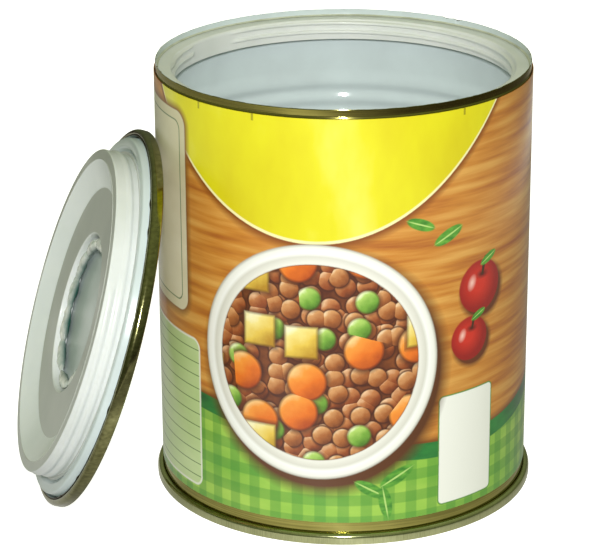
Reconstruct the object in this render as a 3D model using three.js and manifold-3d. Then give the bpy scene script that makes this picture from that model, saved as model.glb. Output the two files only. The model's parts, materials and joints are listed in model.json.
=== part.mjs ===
// A food can turned into a diversion safe. A collar with an inside thread is bonded into the
// mouth of the opened can. A plug with an outside thread is bonded under the can's own
// cut-off top end, which is now a screw lid. The lid is off and leans on the can, with its
// hidden side showing. Millimetres, +Z up, standing on z = 0, the lid on the -X side.

import * as THREE from "three";
import { mergeVertices } from "three/addons/utils/BufferGeometryUtils.js";
import Module from "manifold-3d";

const wasm = await Module();
wasm.setup();

const DEGREE = Math.PI / 180;
const FULL_TURN = 360;
const FACETS = 40;
const FACET_ANGLE = FULL_TURN / FACETS;
const HALF_FACET = 0.5;
const MERGE_DISTANCE = 1e-4;

// The can's steel body, opened just under its top seam.
const CAN_RADIUS = 49.5;
const CAN_CUT_HEIGHT = 117;
const PLATE = 0.25;
const PLATE_GAP = 0.12;
const BEADS_IN_GROUP = 4;
const BEAD_PITCH = 4.85;
const BEAD_DEPTH = 0.45;
const LOWER_BEADS_TOP = 44;
const UPPER_BEADS_BELOW_CUT = 21.2;
const BEAD_GROUP_TOPS = [LOWER_BEADS_TOP, CAN_CUT_HEIGHT - UPPER_BEADS_BELOW_CUT];

// The stamped ends and their double seams. Heights inside an end count from the plane where
// the seam meets the open body, positive towards the can's inside.
const SEAM_OVERHANG = 1.75;
const SEAM_RADIUS = CAN_RADIUS + SEAM_OVERHANG;
const SEAM_HEIGHT = 3;
const SEAM_BEND = 0.3;
const COMPOUND_THICKNESS = 0.12;
const COMPOUND_GAP = 0.125;
const COMPOUND_RADIUS = SEAM_RADIUS - PLATE - COMPOUND_GAP - COMPOUND_THICKNESS;
const COMPOUND_BELOW_TOP = 0.8;
const COMPOUND_HIGH = -0.8;
const COMPOUND_LOW = COMPOUND_BELOW_TOP - SEAM_HEIGHT;
const BODY_HOOK_GAP = 0.13;
const BODY_HOOK_RADIUS = COMPOUND_RADIUS - BODY_HOOK_GAP - PLATE / 2;
const BODY_HOOK_END = -0.6;
const BODY_HOOK_TOP_GAP = 0.22;
const COVER_HOOK_GAP = 0.305;
const COVER_HOOK_RADIUS = CAN_RADIUS + COVER_HOOK_GAP + PLATE / 2;
const COVER_HOOK_BELOW_TOP = 1.15;
const COVER_HOOK_END = COVER_HOOK_BELOW_TOP - SEAM_HEIGHT;
const COVER_HOOK_FOLD = -0.12;
const CHUCK_WALL_GAP = 0.175;
const CHUCK_WALL_RADIUS = CAN_RADIUS - PLATE - CHUCK_WALL_GAP - PLATE / 2;
const CHUCK_WALL_SLOPE = 0.75;
const COUNTERSINK_INSIDE = 1.7;
const COUNTERSINK_OUTER = CHUCK_WALL_RADIUS - CHUCK_WALL_SLOPE;
const COUNTERSINK_WIDTH = 2.3;
const COUNTERSINK_INNER = COUNTERSINK_OUTER - COUNTERSINK_WIDTH;
const PANEL_INSIDE = 0.5;
const PANEL_STEP_WIDTH = 0.95;
const PANEL_RADIUS = COUNTERSINK_INNER - PANEL_STEP_WIDTH;
const PANEL_RING_RISE = 0.7;
const PANEL_RING_WIDTH = 3.6;
const OUTER_RING_INSET = 8.95;
const RING_SPACING = 10;
const OUTER_RING_RADIUS = PANEL_RADIUS - OUTER_RING_INSET;
const PANEL_RING_RADII = [OUTER_RING_RADIUS - RING_SPACING, OUTER_RING_RADIUS];

// The paper label, wrapped once with a glued lap at the back.
const PAPER = 0.12;
const LABEL_ABOVE_SEAM = 2.8;
const LABEL_BELOW_CUT = 2.4;
const LABEL_LOW = SEAM_HEIGHT + LABEL_ABOVE_SEAM;
const LABEL_HIGH = CAN_CUT_HEIGHT - LABEL_BELOW_CUT;
const LABEL_LAP_FACETS = 2;
const LABEL_LAP_STEP = 0.28;
const LABEL_LAP_START = 90;

// The plastic collar in the can's mouth: threaded throat, flange and outer skirt.
const COLLAR_SUNK = 1.9;
const COLLAR_HEIGHT = 5.7;
const COLLAR_SKIRT_HEIGHT = 4.9;
const COLLAR_TOP = CAN_CUT_HEIGHT - COLLAR_SUNK;
const COLLAR_BOTTOM = COLLAR_TOP - COLLAR_HEIGHT;
const COLLAR_SKIRT_BOTTOM = COLLAR_TOP - COLLAR_SKIRT_HEIGHT;
const COLLAR_GLUE_WIDTH = 0.15;
const COLLAR_GLUE_DEPTH = 3;
const COLLAR_GLUE_FILLET = 0.6;
const COLLAR_GLUE_GAP = 0.1;
const COLLAR_RADIUS = CAN_RADIUS - PLATE - COLLAR_GLUE_WIDTH - 2 * COLLAR_GLUE_GAP;
const COLLAR_WALL = 1.2;
const COLLAR_FLANGE = 1.3;
const COLLAR_FLANGE_WIDTH = 3.9;
const COLLAR_EDGE = 0.6;
const COLLAR_EDGE_MIDDLE = 0.2;
const COLLAR_CORNER = 0.3;
const THROAT_RADIUS = COLLAR_RADIUS - COLLAR_FLANGE_WIDTH;

// One right-hand thread shared by the collar and the plug, broken at one place in the collar.
const PITCH = 2.5;
const THREAD_DEPTH = 0.85;
const THREAD_CREST_GAP = 0.3;
const THREAD_ROOT_BITE = 0.3;
const COLLAR_RIDGE_BASE = 1;
const COLLAR_RIDGE_CREST = 0.5;
const COLLAR_THREAD_BREAK_LEFT = 144;
const COLLAR_THREAD_BREAK_RIGHT = 117;
const COLLAR_THREAD_BELOW_TOP = 0.75;
const COLLAR_THREAD_LEAD = 27;
const COLLAR_THREAD_TURNS = 1.6;
const COLLAR_THREAD_MARGIN = 0.65;
const PLUG_RIDGE_BASE = 1.7;
const PLUG_RIDGE_CREST = 0.9;
const PLUG_THREAD_TURNS = 1.5;
const PLUG_THREAD_START = 117;
const CLOSED_LID_GAP = 0.3;

// The plastic plug under the lid, a shell that is open towards the steel end.
const PLUG_SEAT_GAP = 0.25;
const PLUG_BASE = PANEL_INSIDE + PLUG_SEAT_GAP;
const PLUG_LIP_GAP = 0.35;
const PLUG_LIP_RADIUS = PANEL_RADIUS - PLUG_LIP_GAP;
const PLUG_LIP_THICKNESS = 0.5;
const PLUG_LIP_TOP = PLUG_BASE + PLUG_LIP_THICKNESS;
const PLUG_FRONT = 7.3;
const PLUG_WALL = 1.2;
const PLUG_FRONT_WALL = 0.95;
const PLUG_NOSE = 0.45;
const PLUG_CREST = THROAT_RADIUS - THREAD_CREST_GAP;
const PLUG_CORE = PLUG_CREST - THREAD_DEPTH;
const PLUG_RIM_WIDTH = 2.85;
const PLUG_RIM_INNER = PLUG_CORE - PLUG_RIM_WIDTH;
const PLUG_CONE_WIDTH = 7;
const PLUG_FLOOR_RADIUS = PLUG_RIM_INNER - PLUG_CONE_WIDTH;
const PLUG_FLOOR_WIDTH = 12.5;
const PLUG_FLOOR = 4.1;
const PLUG_OPENING_RADIUS = PLUG_FLOOR_RADIUS - PLUG_FLOOR_WIDTH;
const PLUG_OPENING_EDGE = 0.3;

// Hot-melt glue that holds the plug to the steel end.
const OUTER_BEAD_WIDTH = 1;
const OUTER_BEAD_HEIGHT = 0.55;
const OUTER_BEAD_GAP = 0.35;
const OUTER_BEAD_ROOF_GAP = 0.15;
const INNER_BEAD_WIDTH = 2;
const INNER_BEAD_GAP = 0.3;
const BLOB_ANGLES = [8, 36, 64, 92, 120, 148, 184, 224, 264, 312];
const BLOB_LENGTH = 6.6;
const BLOB_WIDTH = 4;
const BLOB_HEIGHT = 1.6;
const BLOB_GAP = 0.12;
const BLOB_FACETS = 10;
const BLOB_OUTLINE = [
  [0, 0],
  [0.42, 0],
  [0.5, 0.22],
  [0.42, 0.66],
  [0.2, 0.95],
  [0, 1],
];

// How the taken-off lid leans.
const LEAN_ANGLE = 18.12;
const LEAN_GAP = 0.15;
const FLOOR_GAP = 0.1;

const FINISHES = {
  tinplate: { color: 0x8a7d45, roughness: 0.3, metalness: 1 },
  lacquered_end: { color: 0x9fadb0, roughness: 0.35, metalness: 0.6 },
  compound: { color: 0x5a5f5a, roughness: 0.8, metalness: 0 },
  paper: { color: 0xc68a35, roughness: 0.35, metalness: 0 },
  plastic: { color: 0xc8cabd, roughness: 0.45, metalness: 0 },
  glue: { color: 0x8fa58f, roughness: 0.25, metalness: 0 },
};

// A closed outline of constant thickness round a path of [radius, height] points.
function stroke(path, thickness) {
  const points = path.map(([radius, height]) => new THREE.Vector2(radius, height));
  const left = [];
  const right = [];
  points.forEach((point, index) => {
    const before = points[index - 1] ?? point;
    const after = points[index + 1] ?? point;
    const into = point.clone().sub(before).normalize();
    const out = after.clone().sub(point).normalize();
    const along = into.clone().add(out).normalize();
    const normal = new THREE.Vector2(-along.y, along.x);
    const straight = into.lengthSq() > 0 ? into : out;
    const reach = thickness / 2 / Math.max(Math.abs(along.dot(straight)), Number.EPSILON);
    left.push(point.clone().addScaledVector(normal, reach));
    right.push(point.clone().addScaledVector(normal, -reach));
  });
  return [...left, ...right.reverse()];
}

// A solid turned about +Z from a closed outline that lies on one side of the axis.
function turned(outline, facets = FACETS) {
  const points = outline.map((point) => new THREE.Vector2(Math.max(point.x, 0), point.y));
  const closed = points[0].x === 0 && points.at(-1).x === 0;
  if (THREE.ShapeUtils.area(points) < 0) {
    points.reverse();
  }
  if (!closed) {
    points.push(points[0].clone());
  }
  return new THREE.LatheGeometry(points, facets).rotateX(Math.PI / 2);
}

function outlineOf(pairs) {
  return pairs.map(([radius, height]) => new THREE.Vector2(radius, height));
}

function toSolid(geometry) {
  const bare = geometry.clone();
  bare.deleteAttribute("normal");
  bare.deleteAttribute("uv");
  const merged = mergeVertices(bare, MERGE_DISTANCE);
  const vertProperties = Float32Array.from(merged.getAttribute("position").array);
  const triVerts = Uint32Array.from(merged.getIndex().array);
  return new wasm.Manifold(new wasm.Mesh({ numProp: 3, vertProperties, triVerts }));
}

function toGeometry(solid) {
  const mesh = solid.getMesh();
  const geometry = new THREE.BufferGeometry();
  geometry.setAttribute("position", new THREE.BufferAttribute(mesh.vertProperties, 3));
  geometry.setIndex(new THREE.BufferAttribute(mesh.triVerts, 1));
  geometry.computeVertexNormals();
  return geometry;
}

// One thread ridge: a trapezium carried along a helix from one angle to another. The root is
// the wall that it stands on, and the crest stands inwards or outwards of it. Its sections
// stand at the wall's own corners, and each end is cut off halfway along a facet.
function threadRidge({ from, to, heightAt, root, crest, base, tip }) {
  const outwards = Math.sign(crest - root);
  const steps = Math.max(Math.round((to - from) / FACET_ANGLE), 1);
  const foot = base / 2 + ((base - tip) / 2) * (THREAD_ROOT_BITE / THREAD_DEPTH);
  const section = [
    [root - outwards * THREAD_ROOT_BITE, -foot],
    [crest, -tip / 2],
    [crest, tip / 2],
    [root - outwards * THREAD_ROOT_BITE, foot],
  ];
  const positions = [];
  for (let step = 0; step <= steps; step += 1) {
    const cut = step === 0 ? HALF_FACET : step === steps ? -HALF_FACET : 0;
    const angle = from + ((to - from) * (step + cut)) / steps;
    const reach = cut === 0 ? 1 : Math.cos((FACET_ANGLE / 2) * DEGREE);
    const turn = angle * DEGREE;
    section.forEach(([radius, rise]) => {
      const across = radius * reach;
      positions.push(across * Math.cos(turn), across * Math.sin(turn), heightAt(angle) + rise);
    });
  }
  const count = section.length;
  const faces = [];
  for (let step = 0; step < steps; step += 1) {
    for (let side = 0; side < count; side += 1) {
      const here = step * count + side;
      const next = step * count + ((side + 1) % count);
      faces.push([here, here + count, next + count], [here, next + count, next]);
    }
  }
  for (let side = 1; side < count - 1; side += 1) {
    const last = steps * count;
    faces.push([0, side, side + 1], [last, last + side + 1, last + side]);
  }
  const index = faces.flatMap(([a, b, c]) => (outwards > 0 ? [a, b, c] : [a, c, b]));
  const geometry = new THREE.BufferGeometry();
  geometry.setAttribute("position", new THREE.Float32BufferAttribute(positions, 3));
  geometry.setIndex(index);
  return geometry;
}

function piece(name, geometry, finish) {
  const mesh = new THREE.Mesh(geometry, new THREE.MeshStandardMaterial(FINISHES[finish]));
  mesh.name = name;
  return mesh;
}

// The body's edge inside a double seam, from its free tip up to the straight wall.
function bodyHookPath() {
  const wall = CAN_RADIUS - PLATE / 2;
  const top = -SEAM_HEIGHT + PLATE + BODY_HOOK_TOP_GAP + PLATE / 2;
  return [
    [BODY_HOOK_RADIUS, BODY_HOOK_END],
    [BODY_HOOK_RADIUS, top + SEAM_BEND],
    [BODY_HOOK_RADIUS - SEAM_BEND, top],
    [wall + SEAM_BEND, top],
    [wall, top + SEAM_BEND],
  ];
}

// A stamped can end with its rings, countersink and seam, from the axis to the hook's tip.
function canEnd() {
  const half = PLATE / 2;
  const panel = PANEL_INSIDE - half;
  const countersink = COUNTERSINK_INSIDE - half;
  const top = -SEAM_HEIGHT + half;
  const seamWall = SEAM_RADIUS - half;
  const rings = PANEL_RING_RADII.flatMap((radius) => [
    [radius - PANEL_RING_WIDTH / 2, panel],
    [radius, panel - PANEL_RING_RISE],
    [radius + PANEL_RING_WIDTH / 2, panel],
  ]);
  const path = [
    [0, panel],
    ...rings,
    [PANEL_RADIUS, panel],
    [COUNTERSINK_INNER, countersink],
    [COUNTERSINK_OUTER - SEAM_BEND, countersink],
    [COUNTERSINK_OUTER, countersink - SEAM_BEND],
    [CHUCK_WALL_RADIUS, top + SEAM_BEND],
    [CHUCK_WALL_RADIUS + SEAM_BEND, top],
    [seamWall - SEAM_BEND, top],
    [seamWall, top + SEAM_BEND],
    [seamWall, COVER_HOOK_FOLD],
    [COVER_HOOK_RADIUS, COVER_HOOK_FOLD],
    [COVER_HOOK_RADIUS, COVER_HOOK_END],
  ];
  return turned(stroke(path, PLATE));
}

function ring(inner, outer, low, high) {
  return turned(outlineOf([[inner, low], [outer, low], [outer, high], [inner, high]]));
}

function seamCompound() {
  return ring(COMPOUND_RADIUS, COMPOUND_RADIUS + COMPOUND_THICKNESS, COMPOUND_LOW, COMPOUND_HIGH);
}

// The open body: its bottom hook, the straight wall with rolled beads, and the cut edge.
function canBody() {
  const wall = CAN_RADIUS - PLATE / 2;
  const path = bodyHookPath().map(([radius, height]) => [radius, height + SEAM_HEIGHT]);
  BEAD_GROUP_TOPS.forEach((top) => {
    for (let bead = BEADS_IN_GROUP - 1; bead >= 0; bead -= 1) {
      const middle = top - bead * BEAD_PITCH;
      path.push([wall, middle - BEAD_PITCH / 2], [wall - BEAD_DEPTH, middle]);
    }
    path.push([wall, top + BEAD_PITCH / 2]);
  });
  path.push([wall, CAN_CUT_HEIGHT]);
  return turned(stroke(path, PLATE));
}

// The label: a strip wrapped once, whose end steps out and lies over its start.
function paperLabel() {
  const inner = CAN_RADIUS + PLATE_GAP;
  const steps = FACETS + LABEL_LAP_FACETS;
  const inside = [];
  const outside = [];
  for (let step = 0; step <= steps; step += 1) {
    const angle = (LABEL_LAP_START + step * FACET_ANGLE) * DEGREE;
    const radius = inner + (step < FACETS ? 0 : LABEL_LAP_STEP);
    inside.push(new THREE.Vector2(radius * Math.cos(angle), radius * Math.sin(angle)));
    const over = radius + PAPER;
    outside.push(new THREE.Vector2(over * Math.cos(angle), over * Math.sin(angle)));
  }
  const shape = new THREE.Shape([...outside, ...inside.reverse()]);
  const depth = LABEL_HIGH - LABEL_LOW;
  const strip = new THREE.ExtrudeGeometry(shape, { depth, bevelEnabled: false });
  return strip.translate(0, 0, LABEL_LOW);
}

function collarThreadHeight(angle) {
  const start = COLLAR_TOP - COLLAR_THREAD_BELOW_TOP;
  return start + (PITCH * (angle - COLLAR_THREAD_BREAK_RIGHT)) / FULL_TURN;
}

// The collar: a ring that is open below between throat and skirt, with its broken thread.
function threadedCollar() {
  const throatBack = THROAT_RADIUS + COLLAR_WALL;
  const skirtBack = COLLAR_RADIUS - COLLAR_WALL;
  const outline = outlineOf([
    [COLLAR_RADIUS, COLLAR_SKIRT_BOTTOM],
    [COLLAR_RADIUS, COLLAR_TOP - COLLAR_CORNER],
    [COLLAR_RADIUS - COLLAR_CORNER, COLLAR_TOP],
    [THROAT_RADIUS + COLLAR_EDGE, COLLAR_TOP],
    [THROAT_RADIUS + COLLAR_EDGE_MIDDLE, COLLAR_TOP - COLLAR_EDGE_MIDDLE],
    [THROAT_RADIUS, COLLAR_TOP - COLLAR_EDGE],
    [THROAT_RADIUS, COLLAR_BOTTOM + COLLAR_CORNER],
    [THROAT_RADIUS + COLLAR_CORNER, COLLAR_BOTTOM],
    [throatBack, COLLAR_BOTTOM],
    [throatBack, COLLAR_TOP - COLLAR_FLANGE],
    [skirtBack, COLLAR_TOP - COLLAR_FLANGE],
    [skirtBack, COLLAR_SKIRT_BOTTOM],
  ]);
  const crest = THROAT_RADIUS - THREAD_DEPTH;
  const lowest = COLLAR_THREAD_BREAK_RIGHT - COLLAR_THREAD_TURNS * FULL_TURN;
  const high = COLLAR_TOP - COLLAR_THREAD_MARGIN;
  const zone = toSolid(ring(crest - THREAD_DEPTH, THROAT_RADIUS + COLLAR_EDGE, COLLAR_BOTTOM, high));
  const stretches = [
    [COLLAR_THREAD_BREAK_LEFT, COLLAR_THREAD_BREAK_LEFT + COLLAR_THREAD_LEAD],
    [COLLAR_THREAD_BREAK_LEFT - FULL_TURN, COLLAR_THREAD_BREAK_RIGHT],
    [lowest, COLLAR_THREAD_BREAK_RIGHT - FULL_TURN],
  ];
  const ridges = stretches.map(([from, to]) => {
    const shape = { root: THROAT_RADIUS, crest, base: COLLAR_RIDGE_BASE, tip: COLLAR_RIDGE_CREST };
    const ridge = threadRidge({ from, to, heightAt: collarThreadHeight, ...shape });
    return toSolid(ridge).intersect(zone);
  });
  return ridges.reduce((body, ridge) => body.add(ridge), toSolid(turned(outline)));
}

// The line of glue between the collar's skirt and the can, with its fillet on the flange.
function collarGlue() {
  const inner = COLLAR_RADIUS + COLLAR_GLUE_GAP;
  const outer = inner + COLLAR_GLUE_WIDTH;
  const seat = COLLAR_TOP + COLLAR_GLUE_GAP;
  return turned(
    outlineOf([
      [inner, COLLAR_TOP - COLLAR_GLUE_DEPTH],
      [outer, COLLAR_TOP - COLLAR_GLUE_DEPTH],
      [outer, seat + COLLAR_GLUE_FILLET],
      [outer - COLLAR_GLUE_FILLET, seat + COLLAR_GLUE_GAP],
      [outer - COLLAR_GLUE_FILLET, seat],
      [inner, seat],
    ]),
  );
}

// The plug: threaded wall, front rim, cone, floor and the opening's upright edge.
function threadedPlug() {
  const inside = PLUG_CORE - PLUG_WALL;
  const roof = PLUG_FRONT - PLUG_FRONT_WALL;
  const openingBack = PLUG_OPENING_RADIUS + PLUG_WALL;
  const outline = outlineOf([
    [inside, PLUG_BASE],
    [PLUG_LIP_RADIUS, PLUG_BASE],
    [PLUG_LIP_RADIUS, PLUG_LIP_TOP],
    [PLUG_CORE, PLUG_LIP_TOP],
    [PLUG_CORE, PLUG_FRONT - PLUG_NOSE],
    [PLUG_CORE - PLUG_NOSE, PLUG_FRONT],
    [PLUG_RIM_INNER, PLUG_FRONT],
    [PLUG_FLOOR_RADIUS, PLUG_FLOOR],
    [PLUG_OPENING_RADIUS + PLUG_OPENING_EDGE, PLUG_FLOOR],
    [PLUG_OPENING_RADIUS, PLUG_FLOOR - PLUG_OPENING_EDGE],
    [PLUG_OPENING_RADIUS, PLUG_BASE],
    [openingBack, PLUG_BASE],
    [openingBack, PLUG_FLOOR - PLUG_FRONT_WALL],
    [PLUG_FLOOR_RADIUS, PLUG_FLOOR - PLUG_FRONT_WALL],
    [PLUG_RIM_INNER, roof],
    [inside, roof],
  ]);
  const startHeight = CAN_CUT_HEIGHT + CLOSED_LID_GAP - PITCH / 2;
  const ridge = threadRidge({
    from: PLUG_THREAD_START,
    to: PLUG_THREAD_START + PLUG_THREAD_TURNS * FULL_TURN,
    heightAt: (angle) => startHeight - collarThreadHeight(plugAngle(angle)),
    root: PLUG_CORE,
    crest: PLUG_CREST,
    base: PLUG_RIDGE_BASE,
    tip: PLUG_RIDGE_CREST,
  });
  return toSolid(turned(outline)).add(toSolid(ridge));
}

// With the lid closed it is upside down, so an angle on the lid faces this one on the can.
function plugAngle(angle) {
  return FULL_TURN / 2 - angle;
}

// A hidden ring of glue under the plug's rim.
function outerBead() {
  const outer = PLUG_CORE - PLUG_WALL - OUTER_BEAD_GAP;
  const high = PLUG_FRONT - PLUG_FRONT_WALL - OUTER_BEAD_ROOF_GAP;
  return ring(outer - OUTER_BEAD_WIDTH, outer, high - OUTER_BEAD_HEIGHT, high);
}

// A hidden ring of glue under the plug's floor, next to the opening's edge.
function innerBead() {
  const inner = PLUG_OPENING_RADIUS + PLUG_WALL + INNER_BEAD_GAP;
  const high = PLUG_FLOOR - PLUG_FRONT_WALL - INNER_BEAD_GAP;
  return ring(inner, inner + INNER_BEAD_WIDTH, PANEL_INSIDE + INNER_BEAD_GAP, high);
}

// One blob of glue between the opening's edge and the steel panel.
function glueBlob(angle) {
  const blob = turned(outlineOf(BLOB_OUTLINE), BLOB_FACETS);
  blob.scale(BLOB_WIDTH, BLOB_LENGTH, BLOB_HEIGHT);
  const curve = PLUG_OPENING_RADIUS - Math.hypot(PLUG_OPENING_RADIUS, BLOB_LENGTH / 2);
  const reach = PLUG_OPENING_RADIUS - BLOB_GAP - BLOB_WIDTH / 2 + curve;
  return blob.translate(reach, 0, PANEL_INSIDE + BLOB_GAP).rotateZ(angle * DEGREE);
}

function buildCan() {
  const can = new THREE.Group();
  const bottom = new THREE.Group();
  bottom.position.z = SEAM_HEIGHT;
  bottom.add(piece("bottom_end", canEnd(), "tinplate"));
  bottom.add(piece("bottom_seam_compound", seamCompound(), "compound"));
  can.add(piece("can_body", canBody(), "tinplate"));
  can.add(bottom);
  can.add(piece("paper_label", paperLabel(), "paper"));
  can.add(piece("threaded_collar", toGeometry(threadedCollar()), "plastic"));
  can.add(piece("collar_glue", collarGlue(), "glue"));
  return can;
}

function buildLid() {
  const lid = new THREE.Group();
  const wall = CAN_RADIUS - PLATE / 2;
  const strip = turned(stroke([...bodyHookPath(), [wall, 0]], PLATE));
  lid.add(piece("lid_end", canEnd(), "lacquered_end"));
  lid.add(piece("lid_body_hook", strip, "tinplate"));
  lid.add(piece("lid_seam_compound", seamCompound(), "compound"));
  lid.add(piece("threaded_plug", toGeometry(threadedPlug()), "plastic"));
  lid.add(piece("outer_glue_bead", outerBead(), "glue"));
  lid.add(piece("inner_glue_bead", innerBead(), "glue"));
  BLOB_ANGLES.forEach((angle, index) => {
    lid.add(piece(`plug_glue_blob_${index + 1}`, glueBlob(angle), "glue"));
  });
  const lean = LEAN_ANGLE * DEGREE;
  const labelFace = CAN_RADIUS + PLATE_GAP + PAPER + LEAN_GAP;
  const reach = labelFace + SEAM_HEIGHT * Math.cos(lean) + SEAM_RADIUS * Math.sin(lean);
  const height = FLOOR_GAP + SEAM_HEIGHT * Math.sin(lean) + SEAM_RADIUS * Math.cos(lean);
  lid.position.set(-reach, 0, height);
  lid.rotation.y = lean - Math.PI / 2;
  return lid;
}

const safe = new THREE.Group();
safe.add(buildCan(), buildLid());
const middle = new THREE.Box3().setFromObject(safe, true).getCenter(new THREE.Vector3());
safe.position.x = -middle.x;

export default safe;
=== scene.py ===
"""Looks of the can diversion safe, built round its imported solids.

The can stands open, with a threaded plastic collar in its mouth, and its screw lid leans on it
with its hidden side in view. Smooth pieces stand for the faceted solids, in the same places and
sizes. Every size in a class below is in millimetres.
"""

import json
import logging
import math
from collections.abc import Callable
from dataclasses import dataclass
from enum import Enum

import bmesh
import bpy
from mathutils import Matrix, Vector, noise

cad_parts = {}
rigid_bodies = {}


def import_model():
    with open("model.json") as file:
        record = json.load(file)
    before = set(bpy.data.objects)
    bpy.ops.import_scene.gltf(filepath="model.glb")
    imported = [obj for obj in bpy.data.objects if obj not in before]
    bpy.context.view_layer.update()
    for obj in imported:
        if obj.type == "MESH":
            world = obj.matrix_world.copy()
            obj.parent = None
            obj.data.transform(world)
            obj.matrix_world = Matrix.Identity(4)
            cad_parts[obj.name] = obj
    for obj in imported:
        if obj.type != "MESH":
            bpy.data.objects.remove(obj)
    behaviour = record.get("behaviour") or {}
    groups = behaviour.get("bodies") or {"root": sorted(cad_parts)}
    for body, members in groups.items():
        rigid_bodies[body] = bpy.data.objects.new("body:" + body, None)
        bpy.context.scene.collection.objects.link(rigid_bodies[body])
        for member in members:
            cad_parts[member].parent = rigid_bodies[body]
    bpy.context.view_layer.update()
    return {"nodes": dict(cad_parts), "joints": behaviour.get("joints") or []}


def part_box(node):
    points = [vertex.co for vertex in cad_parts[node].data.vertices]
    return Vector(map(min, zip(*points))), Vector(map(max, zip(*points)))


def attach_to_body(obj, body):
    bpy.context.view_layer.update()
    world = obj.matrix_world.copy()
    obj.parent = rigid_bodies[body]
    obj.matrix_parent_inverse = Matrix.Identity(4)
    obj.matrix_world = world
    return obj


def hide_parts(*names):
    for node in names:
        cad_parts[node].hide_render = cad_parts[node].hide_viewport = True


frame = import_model()

LOG = logging.getLogger("can_safe")
MM = 0.001
SEGMENTS = 180
FINE_SEGMENTS = 240
SMOOTH_ANGLE = 40.0
WELD = 1e-6
PLATE = 0.25
NEAREST = PLATE / 100
TOUCHING = 0.01
NEAR_WALL = 0.05
# The attribute that carries each glue lump's painted shade at its foot
FOOT_SHADE = "depth"

Point = tuple[float, float]
Place = tuple[float, float, float]
Outline = list[Point]
Shades = tuple[tuple[float, str], ...]
Piece = bpy.types.Object
Material = bpy.types.Material
Tree = bpy.types.NodeTree
Node = bpy.types.Node
Socket = bpy.types.NodeSocket


class Slot(str, Enum):
    """The record's material slots of the pieces here."""

    TINPLATE = "tinplate"
    LID_STEEL = "lacquered_steel"
    PAPER = "label_paper"
    PLASTIC = "moulded_plastic"
    GLUE = "hot_glue"


class Body(str, Enum):
    """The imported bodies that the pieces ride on."""

    CAN = "can"
    LID = "lid"


# Drawing outlines


def rounded(path: Outline, radius: float, steps: int = 4) -> Outline:
    """Round the inner corners of an open path.

    Args:
        path: corners as (radius, height).
        radius: how far before and after each corner the curve starts and ends.
        steps: straight pieces per corner.

    Returns:
        The path with curved corners.
    """
    out = [path[0]]
    for before, corner, after in zip(path, path[1:], path[2:]):
        middle = Vector(corner)
        back, ahead = Vector(before) - middle, Vector(after) - middle
        reach = min(radius, back.length / 2, ahead.length / 2)
        start, end = middle + back.normalized() * reach, middle + ahead.normalized() * reach
        for step in range(steps + 1):
            share = step / steps
            low, high = start.lerp(middle, share), middle.lerp(end, share)
            out.append(tuple(low.lerp(high, share)))
    out.append(path[-1])
    apart = [out[0]]
    for point in out[1:]:
        if math.dist(point, apart[-1]) > NEAREST:
            apart.append(point)
    return apart


def stroke(path: Outline, thickness: float = PLATE) -> Outline:
    """Turn a sheet's middle line into the closed outline of its section.

    Args:
        path: points along the middle of the sheet.
        thickness: the sheet's thickness.

    Returns:
        The outline, up one side and down the other.
    """
    left, right = [], []
    for index, spot in enumerate(path):
        point = Vector(spot)
        into = point - Vector(path[max(index - 1, 0)])
        away = Vector(path[min(index + 1, len(path) - 1)]) - point
        along = (into.normalized() + away.normalized()).normalized()
        straight = into if into.length > 0 else away
        reach = thickness / 2 / max(along.dot(straight.normalized()), thickness)
        side = Vector((-along.y, along.x)) * reach
        left.append(tuple(point + side))
        right.append(tuple(point - side))
    return left + right[::-1]


def evenly(start: Point, end: Point, step: float) -> Outline:
    """Points at even steps on a straight line, both ends included.

    Args:
        start: the first point.
        end: the last point.
        step: how far apart the points lie, about.

    Returns:
        The points.
    """
    count = max(round(math.dist(start, end) / step), 1)
    first, last = Vector(start), Vector(end)
    return [tuple(first.lerp(last, index / count)) for index in range(count + 1)]


def bearing(at: Vector) -> float:
    """How many degrees round the axis a place lies, from 0 to 360."""
    return math.degrees(math.atan2(at.y, at.x)) % 360


# Working on meshes by hand


def deselect_all() -> None:
    """Deselect every object, so that an operator acts on the new piece alone."""
    for other in bpy.context.view_layer.objects:
        other.select_set(False)


def hold(piece: Piece) -> None:
    """Select one piece and make it the active one."""
    deselect_all()
    piece.select_set(True)
    bpy.context.view_layer.objects.active = piece


def wire(name: str, spots: list[Vector]) -> Piece:
    """Extrude one corner from place to place.

    Args:
        name: the new piece's name.
        spots: the places in metres.

    Returns:
        The new object, still in edit mode.
    """
    deselect_all()
    bpy.ops.mesh.primitive_plane_add(size=1)
    piece = bpy.context.active_object
    piece.name = piece.data.name = name
    bpy.ops.object.mode_set(mode="EDIT")
    bpy.ops.mesh.merge(type="CENTER")
    bpy.ops.transform.translate(value=spots[0])
    for here, there in zip(spots, spots[1:]):
        bpy.ops.mesh.extrude_vertices_move(TRANSFORM_OT_translate={"value": there - here})
    return piece


def drawn(name: str, outline: Outline, closed: bool) -> Piece:
    """Draw an outline in the XZ plane.

    Args:
        name: the new piece's name.
        outline: points as (x, z) in millimetres.
        closed: whether the last point joins the first.

    Returns:
        The new object, still in edit mode with everything selected.
    """
    piece = wire(name, [Vector((x * MM, 0, z * MM)) for x, z in outline])
    if closed:
        shape = bmesh.from_edit_mesh(piece.data)
        for corner in shape.verts:
            corner.select_set(len(corner.link_edges) == 1)
        shape.select_flush(False)
        bmesh.update_edit_mesh(piece.data)
        bpy.ops.mesh.edge_face_add()
    bpy.ops.mesh.select_all(action="SELECT")
    return piece


def shaded(piece: Piece, degrees: float = SMOOTH_ANGLE) -> Piece:
    """Leave edit mode and shade smoothly over edges flatter than an angle.

    Args:
        piece: the piece.
        degrees: edges sharper than this stay sharp.

    Returns:
        The same piece.
    """
    bpy.ops.object.mode_set(mode="OBJECT")
    hold(piece)
    bpy.ops.object.shade_smooth_by_angle(angle=math.radians(degrees))
    return piece


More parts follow.
